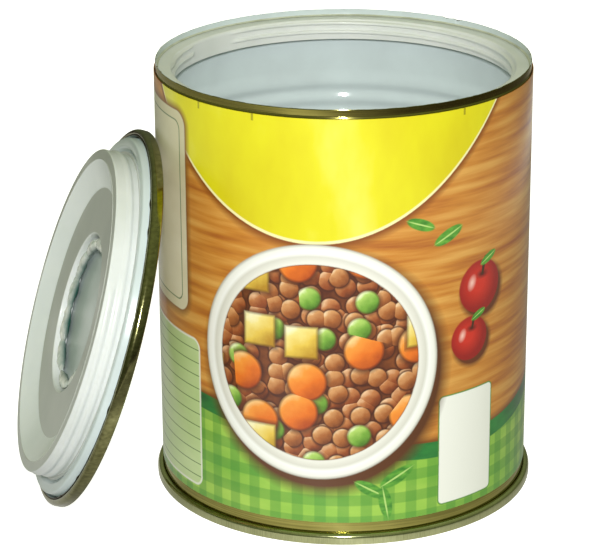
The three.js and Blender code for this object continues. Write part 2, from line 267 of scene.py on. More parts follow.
def turned(name: str, outline: Outline, segments: int = SEGMENTS) -> Piece:
    """Spin an outline once round the Z axis to make a closed solid.

    Args:
        name: the new piece's name.
        outline: the section, which either stays clear of the axis or starts and ends on it.
        segments: steps round the axis.

    Returns:
        The new object in object mode.
    """
    on_axis = outline[0][0] == 0
    piece = drawn(name, outline, closed=not on_axis)
    bpy.ops.mesh.spin(steps=segments, angle=math.tau, center=(0, 0, 0), axis=(0, 0, 1))
    bpy.ops.mesh.select_all(action="SELECT")
    bpy.ops.mesh.remove_doubles(threshold=WELD)
    bpy.ops.mesh.normals_make_consistent(inside=False)
    return shaded(piece)


def push(
    piece: Piece,
    weight_at: Callable[[Vector], float],
    strength: float,
    direction: str = "NORMAL",
) -> None:
    """Push a piece's surface out by a weight that changes from place to place.

    Args:
        piece: the piece to shape.
        weight_at: gives 0 to 1 for a place in millimetres.
        strength: the push at weight 1, in millimetres.
        direction: NORMAL, X, Y or Z.
    """
    group = piece.vertex_groups.new(name="push")
    for vertex in piece.data.vertices:
        weight = weight_at(vertex.co / MM)
        if weight > 0:
            group.add([vertex.index], min(weight, 1), "REPLACE")
    hold(piece)
    bpy.ops.object.modifier_add(type="DISPLACE")
    modifier = piece.modifiers[-1]
    modifier.strength, modifier.mid_level = strength * MM, 0
    modifier.direction, modifier.vertex_group = direction, group.name
    bpy.ops.object.modifier_apply(modifier=modifier.name)
    piece.vertex_groups.clear()


def place(piece: Piece, matrix: Matrix) -> None:
    """Move the mesh to its place and leave the object at the origin.

    Args:
        piece: the piece.
        matrix: its place.
    """
    hold(piece)
    piece.matrix_world = matrix
    bpy.ops.object.transform_apply(location=True, rotation=True, scale=True)


def paint(
    piece: Piece,
    materials: list[Material],
    choose: Callable[[Vector, Vector], int] | None = None,
) -> None:
    """Give a piece its materials.

    Args:
        piece: the piece, still at its own axis where choose is given.
        materials: one per slot.
        choose: gives a slot for a face's middle in millimetres and its normal.
    """
    piece.data.materials.clear()
    for material in materials:
        piece.data.materials.append(material)
    if choose:
        for face in piece.data.polygons:
            face.material_index = choose(face.center / MM, face.normal)


def attach(piece: Piece, body: Body, slot: Slot, *nodes: str) -> None:
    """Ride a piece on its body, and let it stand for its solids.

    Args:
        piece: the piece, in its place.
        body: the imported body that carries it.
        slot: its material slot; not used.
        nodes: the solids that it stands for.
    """
    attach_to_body(piece, body.value)
    if nodes:
        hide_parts(*nodes)
    LOG.info("%s: %d faces on %s", piece.name, len(piece.data.polygons), body.value)


# Materials


def linear(code: str) -> tuple[float, float, float, float]:
    """Turn an sRGB hex colour into the linear colour that shaders read, with full cover."""
    channels = [int(code[start : start + 2], 16) / 255 for start in (1, 3, 5)]
    low = [c / 12.92 if c <= 0.04045 else ((c + 0.055) / 1.055) ** 2.4 for c in channels]
    return (*low, 1)


def add(tree: Tree, kind: str, settings: dict | str | None = None, **links: object) -> Node:
    """Add one node to a tree.

    Args:
        tree: the material's or world's node tree.
        kind: the node's type, without ShaderNode before it.
        settings: a math node's operation, or properties, with a ramp's colours under "ramp".
        links: input names, with _ for a blank or in0 for the first, each with a socket or value.

    Returns:
        The node.
    """
    node = tree.nodes.new(f"ShaderNode{kind}")
    if isinstance(settings, str):
        settings = {"operation": settings}
    for name, value in (settings or {}).items():
        if name == "ramp":
            while len(node.color_ramp.elements) < len(value):
                node.color_ramp.elements.new(1)
            for stop, (spot, code) in zip(node.color_ramp.elements, value):
                stop.position, stop.color = spot, linear(code)
        else:
            setattr(node, name, value)
    for name, value in links.items():
        key = int(name[2:]) if name[:2] == "in" and name[2:].isdigit() else name.replace("_", " ")
        socket = node.inputs[key]
        if isinstance(value, Socket):
            tree.links.new(value, socket)
        else:
            socket.default_value = value
    return node


def tune(shader: Node, **values: object) -> None:
    """Set a shader's own sockets, named with _ for a blank."""
    for name, value in values.items():
        shader.inputs[name.replace("_", " ")].default_value = value


def new_material(name: str) -> tuple[Material, Node, Tree]:
    """A new material with its main shader and its tree."""
    material = bpy.data.materials.new(name)
    material.use_nodes = True
    tree = material.node_tree
    return material, tree.nodes["Principled BSDF"], tree


@dataclass(frozen=True)
class Finish:
    """What the finishes share: two shades that blend in clouds, a roughness and a relief."""

    name: str
    light: str
    dark: str
    roughness: float
    shade_range: Point = (0.3, 0.7)
    cloud_mm: float = 12.0
    detail: float = 3.0
    relief: float = 0.1
    relief_mm: float = 0.02

    def shades(self) -> Shades:
        """The dark and the light shade, at the two ends of the pattern's range."""
        low, high = self.shade_range
        return (low, self.dark), (high, self.light)

    def clouded(self, tree: Tree, at: Socket) -> tuple[Socket, Socket]:
        """Blend the two shades in soft clouds.

        Args:
            tree: the material's tree.
            at: where on the piece a point lies.

        Returns:
            The colour, and the clouds that made it.
        """
        clouds = add(
            tree, "TexNoise", Vector=at, Scale=1 / (self.cloud_mm * MM), Detail=self.detail
        ).outputs["Fac"]
        colour = add(tree, "ValToRGB", {"ramp": self.shades()}, Fac=clouds)
        return colour.outputs[0], clouds

    def dress(self, tree: Tree, shader: Node, colour: Socket, height: Socket) -> None:
        """Give the main shader its colour, and let a pattern stand out of the surface a little.

        Args:
            tree: the material's tree.
            shader: its main shader.
            colour: the surface's colour.
            height: the pattern.
        """
        bump = add(tree, "Bump", Strength=self.relief, Distance=self.relief_mm * MM, Height=height)
        tree.links.new(colour, shader.inputs["Base Color"])
        tree.links.new(bump.outputs[0], shader.inputs["Normal"])


@dataclass(frozen=True)
class LacqueredTinplate(Finish):
    """Tinplate, rolled, tinned and stoved with a golden lacquer over it.

    The rolled steel shows through as fine streaks, and it mirrors softly. The can's body is
    streaked along its rolling direction. Stamping has worked the streaks out of the ends. Real
    rolling lines are some hundredths of a millimetre wide, and are drawn coarser, to show.
    """

    name: str = "gold_lacquered_tinplate"
    light: str = "#BDB566"
    dark: str = "#938B49"
    roughness: float = 0.1
    cloud_mm: float = 9.0
    relief: float = 0.15
    relief_mm: float = 0.01
    streak_mm: float = 0.3
    streak_length: float = 60.0
    cloud_share: float = 0.35
    smoothest: float = 0.7
    roughest: float = 1.4

    def material(self) -> Material:
        """Build the material."""
        material, shader, tree = new_material(self.name)
        at = add(tree, "TexCoord").outputs["Object"]
        across = 1 / (self.streak_mm * MM)
        along = across / self.streak_length
        spread = add(tree, "Mapping", Vector=at, Scale=(along, along, across))
        streaks = add(
            tree, "TexNoise", Vector=spread.outputs[0], Scale=1.0, Detail=self.detail
        ).outputs["Fac"]
        clouds = add(
            tree, "TexNoise", Vector=at, Scale=1 / (self.cloud_mm * MM), Detail=self.detail
        ).outputs["Fac"]
        mottle = add(tree, "Mix", in0=self.cloud_share, in2=streaks, in3=clouds)
        colour = add(tree, "ValToRGB", {"ramp": self.shades()}, Fac=mottle.outputs[0])
        rough = add(
            tree,
            "MapRange",
            Value=streaks,
            To_Min=self.roughness * self.smoothest,
            To_Max=self.roughness * self.roughest,
        )
        tree.links.new(rough.outputs[0], shader.inputs["Roughness"])
        self.dress(tree, shader, colour.outputs[0], streaks)
        tune(shader, Metallic=1)
        return material


@dataclass(frozen=True)
class GrainedFinish(Finish):
    """A clouded colour with a fine grain.

    The real grain is a few hundredths of a millimetre wide, and is drawn coarser, to show.
    """

    grains_per_mm: float = 1.5
    grain_detail: float = 2.0

    def material(self) -> Material:
        """Build the material."""
        material, shader, tree = new_material(self.name)
        at = add(tree, "TexCoord").outputs["Object"]
        colour, _ = self.clouded(tree, at)
        scale = self.grains_per_mm / MM
        grain = add(tree, "TexNoise", Vector=at, Scale=scale, Detail=self.grain_detail)
        self.dress(tree, shader, colour, grain.outputs["Fac"])
        tune(shader, Roughness=self.roughness)
        return material


@dataclass(frozen=True)
class PaleLacquer(GrainedFinish):
    """Food-safe lacquer with a pale pigment, rolled on the can's inside and stoved.

    It looks pale blue-grey, with a soft shine and faint flow marks.
    """

    name: str = "pale_inner_lacquer"
    light: str = "#D0DCDD"
    dark: str = "#C8D3D4"
    roughness: float = 0.075
    detail: float = 5.0
    relief: float = 0.06
    relief_mm: float = 0.03


@dataclass(frozen=True)
class MouldedPlastic(GrainedFinish):
    """Polypropylene, injection moulded: milky white, satin, with light just under its skin."""

    name: str = "moulded_polypropylene"
    # These shades are darker than the collar's: painted shade for the plug's level faces
    light: str = "#C8CBC6"
    dark: str = "#C0C4BF"
    roughness: float = 0.36
    shade_range: Point = (0.35, 0.65)
    cloud_mm: float = 14.0
    detail: float = 6.0
    grains_per_mm: float = 2.5
    ior: float = 1.49
    skin: float = 0.25
    skin_roughness: float = 0.12
    milkiness: float = 0.15
    milk_depth: Place = (1.0, 1.0, 0.8)

    def material(self) -> Material:
        """Build the material, with its milky skin."""
        material = super().material()
        tune(
            material.node_tree.nodes["Principled BSDF"],
            IOR=self.ior,
            Coat_Weight=self.skin,
            Coat_Roughness=self.skin_roughness,
            Subsurface_Weight=self.milkiness,
            Subsurface_Radius=[reach * MM for reach in self.milk_depth],
            Subsurface_Scale=1,
        )
        return material


@dataclass(frozen=True)
class HotGlue(Finish):
    """Hot-melt glue, laid from a gun: glassy and rounded, it takes on the colours behind it, with
    painted shade in dark teal at its foot.
    """

    name: str = "set_hot_melt_glue"
    light: str = "#FFFFFA"
    dark: str = "#DCE6DF"
    roughness: float = 0.12
    shade_range: Point = (0.38, 0.6)
    cloud_mm: float = 2.2
    detail: float = 4.0
    relief: float = 0.5
    relief_mm: float = 0.3
    # The ink of the painted shade at each lump's foot, where it meets the steel
    foot: str = "#1F4E46"
    clearness: float = 0.1
    ior: float = 1.48

    def material(self) -> Material:
        """Build the material."""
        material, shader, tree = new_material(self.name)
        at = add(tree, "TexCoord").outputs["Object"]
        colour, wrinkles = self.clouded(tree, at)
        # Painted shade: the lump's foot turns dark teal by its painted-shade attribute
        depth = add(tree, "Attribute", {"attribute_name": FOOT_SHADE})
        foot_with_painted_shade = add(
            tree,
            "Mix",
            {"data_type": "RGBA"},
            in0=depth.outputs["Fac"],
            in6=colour,
            in7=linear(self.foot),
        )
        self.dress(tree, shader, foot_with_painted_shade.outputs[2], wrinkles)
        tune(shader, Roughness=self.roughness, IOR=self.ior, Transmission_Weight=self.clearness)
        return material


@dataclass(frozen=True)
class SealingCompound(Finish):
    """Water-based rubber compound, poured into the seam and dried: matt and dark."""

    name: str = "dried_sealing_compound"
    light: str = "#6A6F69"
    dark: str = "#4C504B"
    roughness: float = 0.85
    shade_range: Point = (0.35, 0.65)
    cloud_mm: float = 1.25

    def material(self) -> Material:
        """Build the material."""
        material, shader, tree = new_material(self.name)
        at = add(tree, "TexCoord").outputs["Object"]
        colour, _ = self.clouded(tree, at)
        tree.links.new(colour, shader.inputs["Base Color"])
        tune(shader, Roughness=self.roughness)
        return material


# The label's print, with places and sizes in millimetres on the flat sheet


@dataclass(frozen=True)
class Mottle:
    """Inks that blend in soft clouds of one width and height."""

    across: float
    up: float
    shades: Shades


@dataclass(frozen=True)
class Panel:
    """A rectangle with round corners."""

    left: float
    low: float
    right: float
    high: float
    corner: float = 0.0


@dataclass(frozen=True)
class Leaf:
    """A small leaf: its middle, half its length, and its turn in degrees."""

    x: float
    z: float
    long: float
    turn: float


@dataclass(frozen=True)
class Apple:
    """An apple's middle and half its width."""

    x: float
    z: float
    size: float


@dataclass(frozen=True)
class Dab:
    """An oval dab of ink on an apple.

    Its offset is in millimetres. Its further shift and its half sizes are shares of the apple.
    """

    offset: Point
    shift: Point
    half: Point
    turn: float
    reach: float
    soft: float
    ink: str


class Cut(str, Enum):
    """How a filling is cut, as the distance that gives its outline."""

    ROUND = "EUCLIDEAN"
    SQUARE = "CHEBYCHEV"


@dataclass(frozen=True)
class Filling:
    """One kind of piece of food, strewn over the dish.

    Half a piece's width, how far the pieces lie apart, how many of the places are filled from 0
    to 1, the inks from its shaded to its lit side, its cut, and a shift of its places.
    """

    size: float
    spacing: float
    share: float
    shades: Shades
    cut: Cut = Cut.ROUND
    shift: float = 0.0


Ink = str | Mottle | Socket


@dataclass
class Press:
    """Prints inks on the label's sheet, one over the other."""

    tree: Tree
    at: Socket
    sheet: Socket | None = None
    edge: float = 0.15
    cloud_detail: float = 5.0
    jitter: float = 0.8
    shadow_reach: float = 1.18
    shadow_soft: float = 0.06
    shadow_ink: str = "#4A1D0A"
    lit_from: Point = (-0.55, 0.8)
    grain: float = 1.2
    grain_detail: float = 3.0
    grain_share: float = 0.5
    piece_edge: float = 0.03
    chance_edge: float = 0.001
    leaf_width: float = 0.38
    leaf_edge: float = 0.08
    vein: Place = (0.9, 0.05, 0.3)
    vein_ink: str = "#B7DB7A"
    leaf_inks: Mottle = Mottle(3, 1.5, ((0.3, "#2E7A22"), (0.7, "#6DB33A")))

    def lay(self, mask: Socket, ink: Ink) -> None:
        """Print one ink where its mask is 1."""
        if isinstance(ink, Mottle):
            ink = self.clouds(ink)
        above = linear(ink) if isinstance(ink, str) else ink
        mix = add(self.tree, "Mix", {"data_type": "RGBA"}, in0=mask, in6=self.sheet, in7=above)
        self.sheet = mix.outputs[2]

    def inside(self, distance: Socket, reach: float = 0, soft: float | None = None) -> Socket:
        """Make a mask from a distance.

        Args:
            distance: grows outwards from what is printed.
            reach: the mask is 1 below it.
            soft: how far the mask's edge fades to each side.

        Returns:
            The mask.
        """
        fade = self.edge if soft is None else soft
        edge = add(
            self.tree, "MapRange", Value=distance, From_Min=reach + fade, From_Max=reach - fade
        )
        return edge.outputs[0]

    def both(self, first: Socket, second: Socket) -> Socket:
        """A mask that is 1 where two masks are."""
        return add(self.tree, "Math", "MULTIPLY", in0=first, in1=second).outputs[0]

    def oval(self, x: float, z: float, wide: float, high: float, turn: float = 0) -> Socket:
        """The distance from an oval's middle, 1 on its edge."""
        laid = add(
            self.tree,
            "Mapping",
            {"vector_type": "TEXTURE"},
            Vector=self.at,
            Location=(x, z, 0),
            Rotation=(0, 0, math.radians(turn)),
            Scale=(wide, high, 1),
        )
        return add(self.tree, "VectorMath", "LENGTH", in0=laid.outputs[0]).outputs["Value"]

    def panel(self, panel: Panel) -> Socket:
        """The distance from a panel's edge, 0 on it."""
        middle = ((panel.left + panel.right) / 2, (panel.low + panel.high) / 2, 0)
        half = (
            (panel.right - panel.left) / 2 - panel.corner,
            (panel.high - panel.low) / 2 - panel.corner,
            0,
        )
        spot = self.at
        for step, value in (("SUBTRACT", middle), ("ABSOLUTE", None), ("SUBTRACT", half)):
            links = {"in0": spot} if value is None else {"in0": spot, "in1": value}
            spot = add(self.tree, "VectorMath", step, **links).outputs[0]
        outer = add(self.tree, "VectorMath", "MAXIMUM", in0=spot, in1=(0, 0, 0))
        reach = add(self.tree, "VectorMath", "LENGTH", in0=outer.outputs[0])
        away = add(self.tree, "Math", "SUBTRACT", in0=reach.outputs["Value"], in1=panel.corner)
        return away.outputs[0]

    def clouds(self, mottle: Mottle) -> Socket:
        """The colour of a mottle."""
        scale = (1 / mottle.across, 1 / mottle.up, 1)
        laid = add(self.tree, "Mapping", Vector=self.at, Scale=scale)
        cloud = add(
            self.tree, "TexNoise", Vector=laid.outputs[0], Scale=1.0, Detail=self.cloud_detail
        )
        shades = {"ramp": mottle.shades}
        return add(self.tree, "ValToRGB", shades, Fac=cloud.outputs["Fac"]).outputs[0]

    def strew(self, filling: Filling, within: Socket) -> None:
        """Strew one filling, each piece lit from its upper left, over its own shadow.

        Args:
            filling: what is strewn.
            within: mask of the dish's inside.
        """
        tree, size = self.tree, filling.size
        shift = (filling.shift, filling.shift * 2, 0)
        laid = add(tree, "Mapping", Vector=self.at, Location=shift)
        cells = add(
            tree,
            "TexVoronoi",
            {"voronoi_dimensions": "2D", "distance": filling.cut.value},
            Vector=laid.outputs[0],
            Scale=1 / filling.spacing,
            Randomness=self.jitter,
        )
        chance = add(tree, "SeparateColor", Color=cells.outputs["Color"])
        filled = self.inside(chance.outputs[0], filling.share, self.chance_edge)
        away, reach = cells.outputs["Distance"], size / filling.spacing
        shadow = self.inside(away, reach * self.shadow_reach, self.shadow_soft)
        self.lay(self.both(self.both(shadow, filled), within), self.shadow_ink)
        offset = add(
            tree, "VectorMath", "SUBTRACT", in0=laid.outputs[0], in1=cells.outputs["Position"]
        )
        lit = add(
            tree,
            "VectorMath",
            "DOT_PRODUCT",
            in0=offset.outputs[0],
            in1=(self.lit_from[0] / size, self.lit_from[1] / size, 0),
        )
        tone = add(tree, "MapRange", Value=lit.outputs["Value"], From_Min=-1.0, From_Max=1.0)
        grain = add(
            tree, "TexNoise", Vector=self.at, Scale=self.grain / size, Detail=self.grain_detail
        )
        uneven = add(
            tree,
            "Math",
            "MULTIPLY_ADD",
            in0=grain.outputs["Fac"],
            in1=self.grain_share,
            in2=tone.outputs[0],
        )
        centred = add(tree, "Math", "SUBTRACT", in0=uneven.outputs[0], in1=self.grain_share / 2)
        ink = add(tree, "ValToRGB", {"ramp": filling.shades}, Fac=centred.outputs[0])
        body = self.both(self.inside(away, reach, self.piece_edge), filled)
        self.lay(self.both(body, within), ink.outputs[0])

    def leaf(self, leaf: Leaf) -> None:
        """A small green leaf with a pale middle vein."""
        edge = self.oval(leaf.x, leaf.z, leaf.long, leaf.long * self.leaf_width, leaf.turn)
        self.lay(self.inside(edge, 1, self.leaf_edge), self.leaf_inks)
        long, wide, soft = self.vein
        vein = self.oval(leaf.x, leaf.z, leaf.long * long, leaf.long * wide, leaf.turn)
        self.lay(self.inside(vein, 1, soft), self.vein_ink)


# How far a soft shade reaches, how soft its edge is, and its ink
Shade = tuple[float, float, str]


@dataclass(frozen=True)
class LabelPaper:
    """Coated paper, offset printed and varnished: bright inks under an even gloss.

    The gloss wavers a little where the paper lies over the can's beads. The print shows a
    table with two cloths, a dish of food, apples and leaves, with blank panels beside it.
    """

    name: str = "varnished_label_paper"
    roughness: float = 0.45
    varnish: float = 0.6
    varnish_roughness: float = 0.2
    ripple_mm: float = 14.0
    ripple_relief: float = 0.35
    ripple_height: float = 0.25
    wrap: float = 328.55
    front: float = 145.6
    low: float = 5.8
    high: float = 108.8

    wood: Mottle = Mottle(40, 3, ((0.3, "#A9591B"), (0.48, "#CE8630"), (0.7, "#E6AE58")))
    yellow: Mottle = Mottle(26, 60, ((0.3, "#DCCB08"), (0.5, "#E9E012"), (0.7, "#F6F070")))
    hem_middle: float = -8.0
    hem_curve: float = 0.012
    hem_low: float = 82.0
    hem_width: float = 0.8
    hem_ink: str = "#FFF6B8"
    hem_shade: Shade = (1.6, 1.2, "#8F4C14")

    green: Mottle = Mottle(30, 12, ((0.3, "#7DBB3A"), (0.7, "#B4D95A")))
    green_edge: Mottle = Mottle(14, 6, ((0.35, "#14562A"), (0.65, "#2E8A3A")))
    green_edge_width: float = 4.5
    green_top: float = 31.0
    green_shade: Shade = (1.0, 1.0, "#7A430F")
    wave_height: float = -5.0
    wave_length: float = 26.0
    wave_start: float = 0.4
    check: float = 3.0
    check_strength: float = 0.45
    check_ink: str = "#3F8F2E"

    note: Panel = Panel(-112, 56, -47, 110, 4)
    note_line: Panel = Panel(-109.5, 58.5, -49.5, 107.5, 2.6)
    note_middle: Panel = Panel(-109.2, 58.8, -49.8, 107.2, 2.4)
    note_shade: Shade = (1.2, 1.1, "#8F5A22")
    note_line_ink: str = "#3D6B35"
    note_inks: Mottle = Mottle(30, 20, ((0.3, "#D9CFA8"), (0.7, "#EFE8CC")))
    note_middle_inks: Mottle = Mottle(30, 20, ((0.3, "#DDD4B0"), (0.7, "#F1EBD2")))
    ruled: Panel = Panel(-112, 8, -42, 50, 3)
    ruled_edge: float = 0.6
    ruled_edge_ink: str = "#F3F5E4"
    ruled_inks: Mottle = Mottle(30, 20, ((0.3, "#B9D68A"), (0.7, "#D6E7AE")))
    row: float = 1.8
    row_line: Shade = (0.12, 0.08, "#4E7A3A")
    blank: Panel = Panel(26, 8, 44, 38, 1.2)
    blank_edge: float = 0.35
    blank_edge_ink: str = "#4E8F2E"
    blank_ink: str = "#FBFBF4"
    ticks: tuple[float, ...] = (-41.0, -23.7, 32.1)
    tick_width: float = 0.5
    tick_low: float = 112.9
    tick_high: float = 116.0
    tick_ink: str = "#3A1E0A"

    dish: Point = (-7.0, 50.0)
    dish_radius: float = 32.0
    dish_edge: float = 0.006
    dish_inside: float = 0.83
    dish_fall: Point = (1.5, -2.5)
    dish_shade: Shade = (1.04, 0.06, "#5E3312")
    glaze: Shades = (
        (0.82, "#A9A698"),
        (0.845, "#F2F0E8"),
        (0.9, "#DEDCD2"),
        (0.93, "#FFFFFC"),
        (0.975, "#F4F3EC"),
        (1.0, "#B9B6AA"),
    )
    bed: Mottle = Mottle(6, 6, ((0.35, "#5A260E"), (0.65, "#8A4A1E")))
    brown_pieces: Filling = Filling(
        2.6, 5.0, 1.1, ((0.0, "#5A240C"), (0.35, "#94481C"), (0.7, "#C27C48"), (1.0, "#EFC398"))
    )
    tan_pieces: Filling = Filling(
        2.5,
        5.6,
        0.75,
        ((0.0, "#6E3414"), (0.4, "#A9622E"), (0.8, "#D69A62"), (1.0, "#F4D2A8")),
        shift=31,
    )
    green_pieces: Filling = Filling(
        2.9,
        12.0,
        0.5,
        ((0.0, "#3C6A18"), (0.4, "#77A83A"), (0.8, "#B2D468"), (1.0, "#F2FAC8")),
        shift=57,
    )
    orange_pieces: Filling = Filling(
        4.9,
        14.0,
        0.55,
        ((0.0, "#B04408"), (0.4, "#E8741A"), (0.75, "#F79A38"), (1.0, "#FFD08C")),
        shift=83,
    )
    yellow_cubes: Filling = Filling(
        4.1,
        15.0,
        0.5,
        ((0.0, "#B98A1E"), (0.4, "#E9C64E"), (0.8, "#F8E48C"), (1.0, "#FFF8CC")),
        Cut.SQUARE,
        117,
    )

    apples: tuple[Apple, ...] = (Apple(39.0, 66.0, 7.4), Apple(35.5, 52.5, 6.2))
    apple_dabs: tuple[Dab, ...] = (
        Dab((1, -1.4), (0, 0), (1.05, 1), 0, 1.02, 0.12, "#6B3410"),
        Dab((0, 0), (0, 0), (1, 0.96), 0, 1, 0.03, "#9E1610"),
        Dab((-0.8, 0.9), (0, 0), (0.8, 0.78), 0, 0.75, 0.4, "#D8301E"),
        Dab((0.6, 0), (0, 0.42), (0.3, 0.16), 0, 0.7, 0.5, "#5E1408"),
        Dab((0, 0), (-0.42, 0.2), (0.16, 0.26), -20, 0.7, 0.6, "#FFC9BC"),
        Dab((1.1, 0), (0, 0.72), (0.07, 0.34), -12, 1, 0.15, "#4A2A10"),
    )
    apple_leaf: tuple[float, float, float, float] = (2.9, 0.95, 0.42, 24)
    leaves: tuple[Leaf, ...] = (
        Leaf(20, 86, 4, 160),
        Leaf(28, 82, 4.5, 25),
        Leaf(14, 18, 5, 30),
        Leaf(7, 15, 4.5, 150),
        Leaf(11, 11, 4.5, 100),
    )

    def material(self) -> Material:
        """Build the material."""
        material, shader, tree = new_material(self.name)
        flat = add(
            tree,
            "Mapping",
            Vector=add(tree, "TexCoord").outputs["UV"],
            Location=(-self.front, self.low, 0),
            Scale=(self.wrap, self.high, 1),
        ).outputs[0]
        press = Press(tree, flat)
        press.sheet = press.clouds(self.wood)
        parts = add(tree, "SeparateXYZ", Vector=flat)
        across, up = parts.outputs[0], parts.outputs[1]
        self.yellow_cloth(press, across, up)
        self.green_cloth(press, across, up)
        self.side_panels(press, up)
        self.dish_of_food(press)
        self.apples_and_leaves(press)
        tree.links.new(press.sheet, shader.inputs["Base Color"])
        ripple = add(tree, "TexNoise", Vector=flat, Scale=1 / self.ripple_mm, Detail=2.0)
        bump = add(
            tree,
            "Bump",
            Strength=self.ripple_relief,
            Distance=self.ripple_height * MM,
            Height=ripple.outputs["Fac"],
        )
        tree.links.new(bump.outputs[0], shader.inputs["Normal"])
        tune(
            shader,
            Roughness=self.roughness,
            Coat_Weight=self.varnish,
            Coat_Roughness=self.varnish_roughness,
        )
        return material

    def shade(self, press: Press, distance: Socket, shade: Shade) -> None:
        """Print a soft line or shade round something.

        Args:
            press: prints the label.
            distance: grows outwards from what is shaded.
            shade: how far it reaches, how soft its edge is, and its ink.
        """
        reach, soft, ink = shade
        press.lay(press.inside(distance, reach, soft), ink)

    def yellow_cloth(self, press: Press, across: Socket, up: Socket) -> None:
        """Hang a yellow cloth at the top, with a pale hem on a parabola.

        Args:
            press: prints the label.
            across: millimetres across from the front.
            up: millimetres up.
        """
        tree = press.tree
        aside = add(tree, "Math", "SUBTRACT", in0=across, in1=self.hem_middle).outputs[0]
        square = add(tree, "Math", "MULTIPLY", in0=aside, in1=aside)
        hem = add(
            tree,
            "Math",
            "MULTIPLY_ADD",
            in0=square.outputs[0],
            in1=self.hem_curve,
            in2=self.hem_low,
        )
        drop = add(tree, "Math", "SUBTRACT", in0=hem.outputs[0], in1=up).outputs[0]
        self.shade(press, drop, self.hem_shade)
        press.lay(press.inside(drop), self.hem_ink)
        press.lay(press.inside(drop, -self.hem_width), self.yellow)

    def green_cloth(self, press: Press, across: Socket, up: Socket) -> None:
        """Lay a green checked cloth at the foot, with a dark wavy edge.

        Args:
            press: prints the label.
            across: millimetres across from the front.
            up: millimetres up.
        """
        tree = press.tree
        wave = add(
            tree, "Math", "MULTIPLY_ADD", in0=across, in1=1 / self.wave_length, in2=self.wave_start
        )
        swing = add(tree, "Math", "SINE", in0=wave.outputs[0])
        top = add(
            tree,
            "Math",
            "MULTIPLY_ADD",
            in0=swing.outputs[0],
            in1=self.wave_height,
            in2=self.green_top,
        )
        over = add(tree, "Math", "SUBTRACT", in0=up, in1=top.outputs[0]).outputs[0]
        self.shade(press, over, self.green_shade)
        press.lay(press.inside(over), self.green_edge)
        cloth = press.inside(over, -self.green_edge_width)
        press.lay(cloth, self.green)
        for way in (across, up):
            stripe = add(tree, "Math", "PINGPONG", in0=way, in1=self.check)
            band = press.both(press.inside(stripe.outputs[0], self.check / 2), cloth)
            half = add(tree, "Math", "MULTIPLY", in0=band, in1=self.check_strength)
            press.lay(half.outputs[0], self.check_ink)

    def side_panels(self, press: Press, up: Socket) -> None:
        """Print the blank panels: a bordered one, a ruled one and a white one.

        Args:
            press: prints the label.
            up: millimetres up.
        """
        note = press.panel(self.note)
        self.shade(press, note, self.note_shade)
        press.lay(press.inside(note), self.note_inks)
        press.lay(press.inside(press.panel(self.note_line)), self.note_line_ink)
        press.lay(press.inside(press.panel(self.note_middle)), self.note_middle_inks)
        ruled = press.panel(self.ruled)
        press.lay(press.inside(ruled), self.ruled_edge_ink)
        middle = press.inside(ruled, -self.ruled_edge)
        press.lay(middle, self.ruled_inks)
        rows = add(press.tree, "Math", "PINGPONG", in0=up, in1=self.row)
        half, soft, ink = self.row_line
        press.lay(press.both(press.inside(rows.outputs[0], half, soft), middle), ink)
        blank = press.panel(self.blank)
        press.lay(press.inside(blank, self.blank_edge), self.blank_edge_ink)
        press.lay(press.inside(blank), self.blank_ink)

    def dish_of_food(self, press: Press) -> None:
        """A round white dish of food seen from above: round brown, green and orange pieces."""
        (x, z), radius = self.dish, self.dish_radius
        aside, down = self.dish_fall
        self.shade(press, press.oval(x + aside, z + down, radius, radius), self.dish_shade)
        reach = press.oval(x, z, radius, radius)
        glaze = add(press.tree, "ValToRGB", {"ramp": self.glaze}, Fac=reach)
        press.lay(press.inside(reach, 1, self.dish_edge), glaze.outputs[0])
        within = press.inside(reach, self.dish_inside, self.dish_edge)
        press.lay(within, self.bed)
        for filling in (
            self.brown_pieces,
            self.tan_pieces,
            self.green_pieces,
            self.orange_pieces,
            self.yellow_cubes,
        ):
            press.strew(filling, within)

    def apples_and_leaves(self, press: Press) -> None:
        """Print the apples, the leaves and the small register ticks at the top."""
        aside, up, long, turn = self.apple_leaf
        for apple in self.apples:
            x, z, size = apple.x, apple.z, apple.size
            for dab in self.apple_dabs:
                oval = press.oval(
                    x + dab.offset[0] + size * dab.shift[0],
                    z + dab.offset[1] + size * dab.shift[1],
                    size * dab.half[0],
                    size * dab.half[1],
                    dab.turn,
                )
                press.lay(press.inside(oval, dab.reach, dab.soft), dab.ink)
            press.leaf(Leaf(x + aside, z + size * up, size * long, turn))
        for leaf in self.leaves:
            press.leaf(leaf)
        for x in self.ticks:
            tick = Panel(x, self.tick_low, x + self.tick_width, self.tick_high)
            press.lay(press.inside(press.panel(tick)), self.tick_ink)


@dataclass(frozen=True)
class Finishes:
    """Every material, made once."""

    gold: Material
    clear: Material
    lid_clear: Material
    panel_clear: Material
    cut_steel: Material
    pale: Material
    lid_pale: Material
    plastic: Material
    # The plug's plastic and the next two are one polypropylene: painted shade on its level faces,
    # painted light on its cone and upright walls
    cone_plastic_painted_light: Material
    upright_plastic_painted_light: Material
    collar: Material
    glue: Material
    glue_line: Material
    compound: Material
    paper: Material


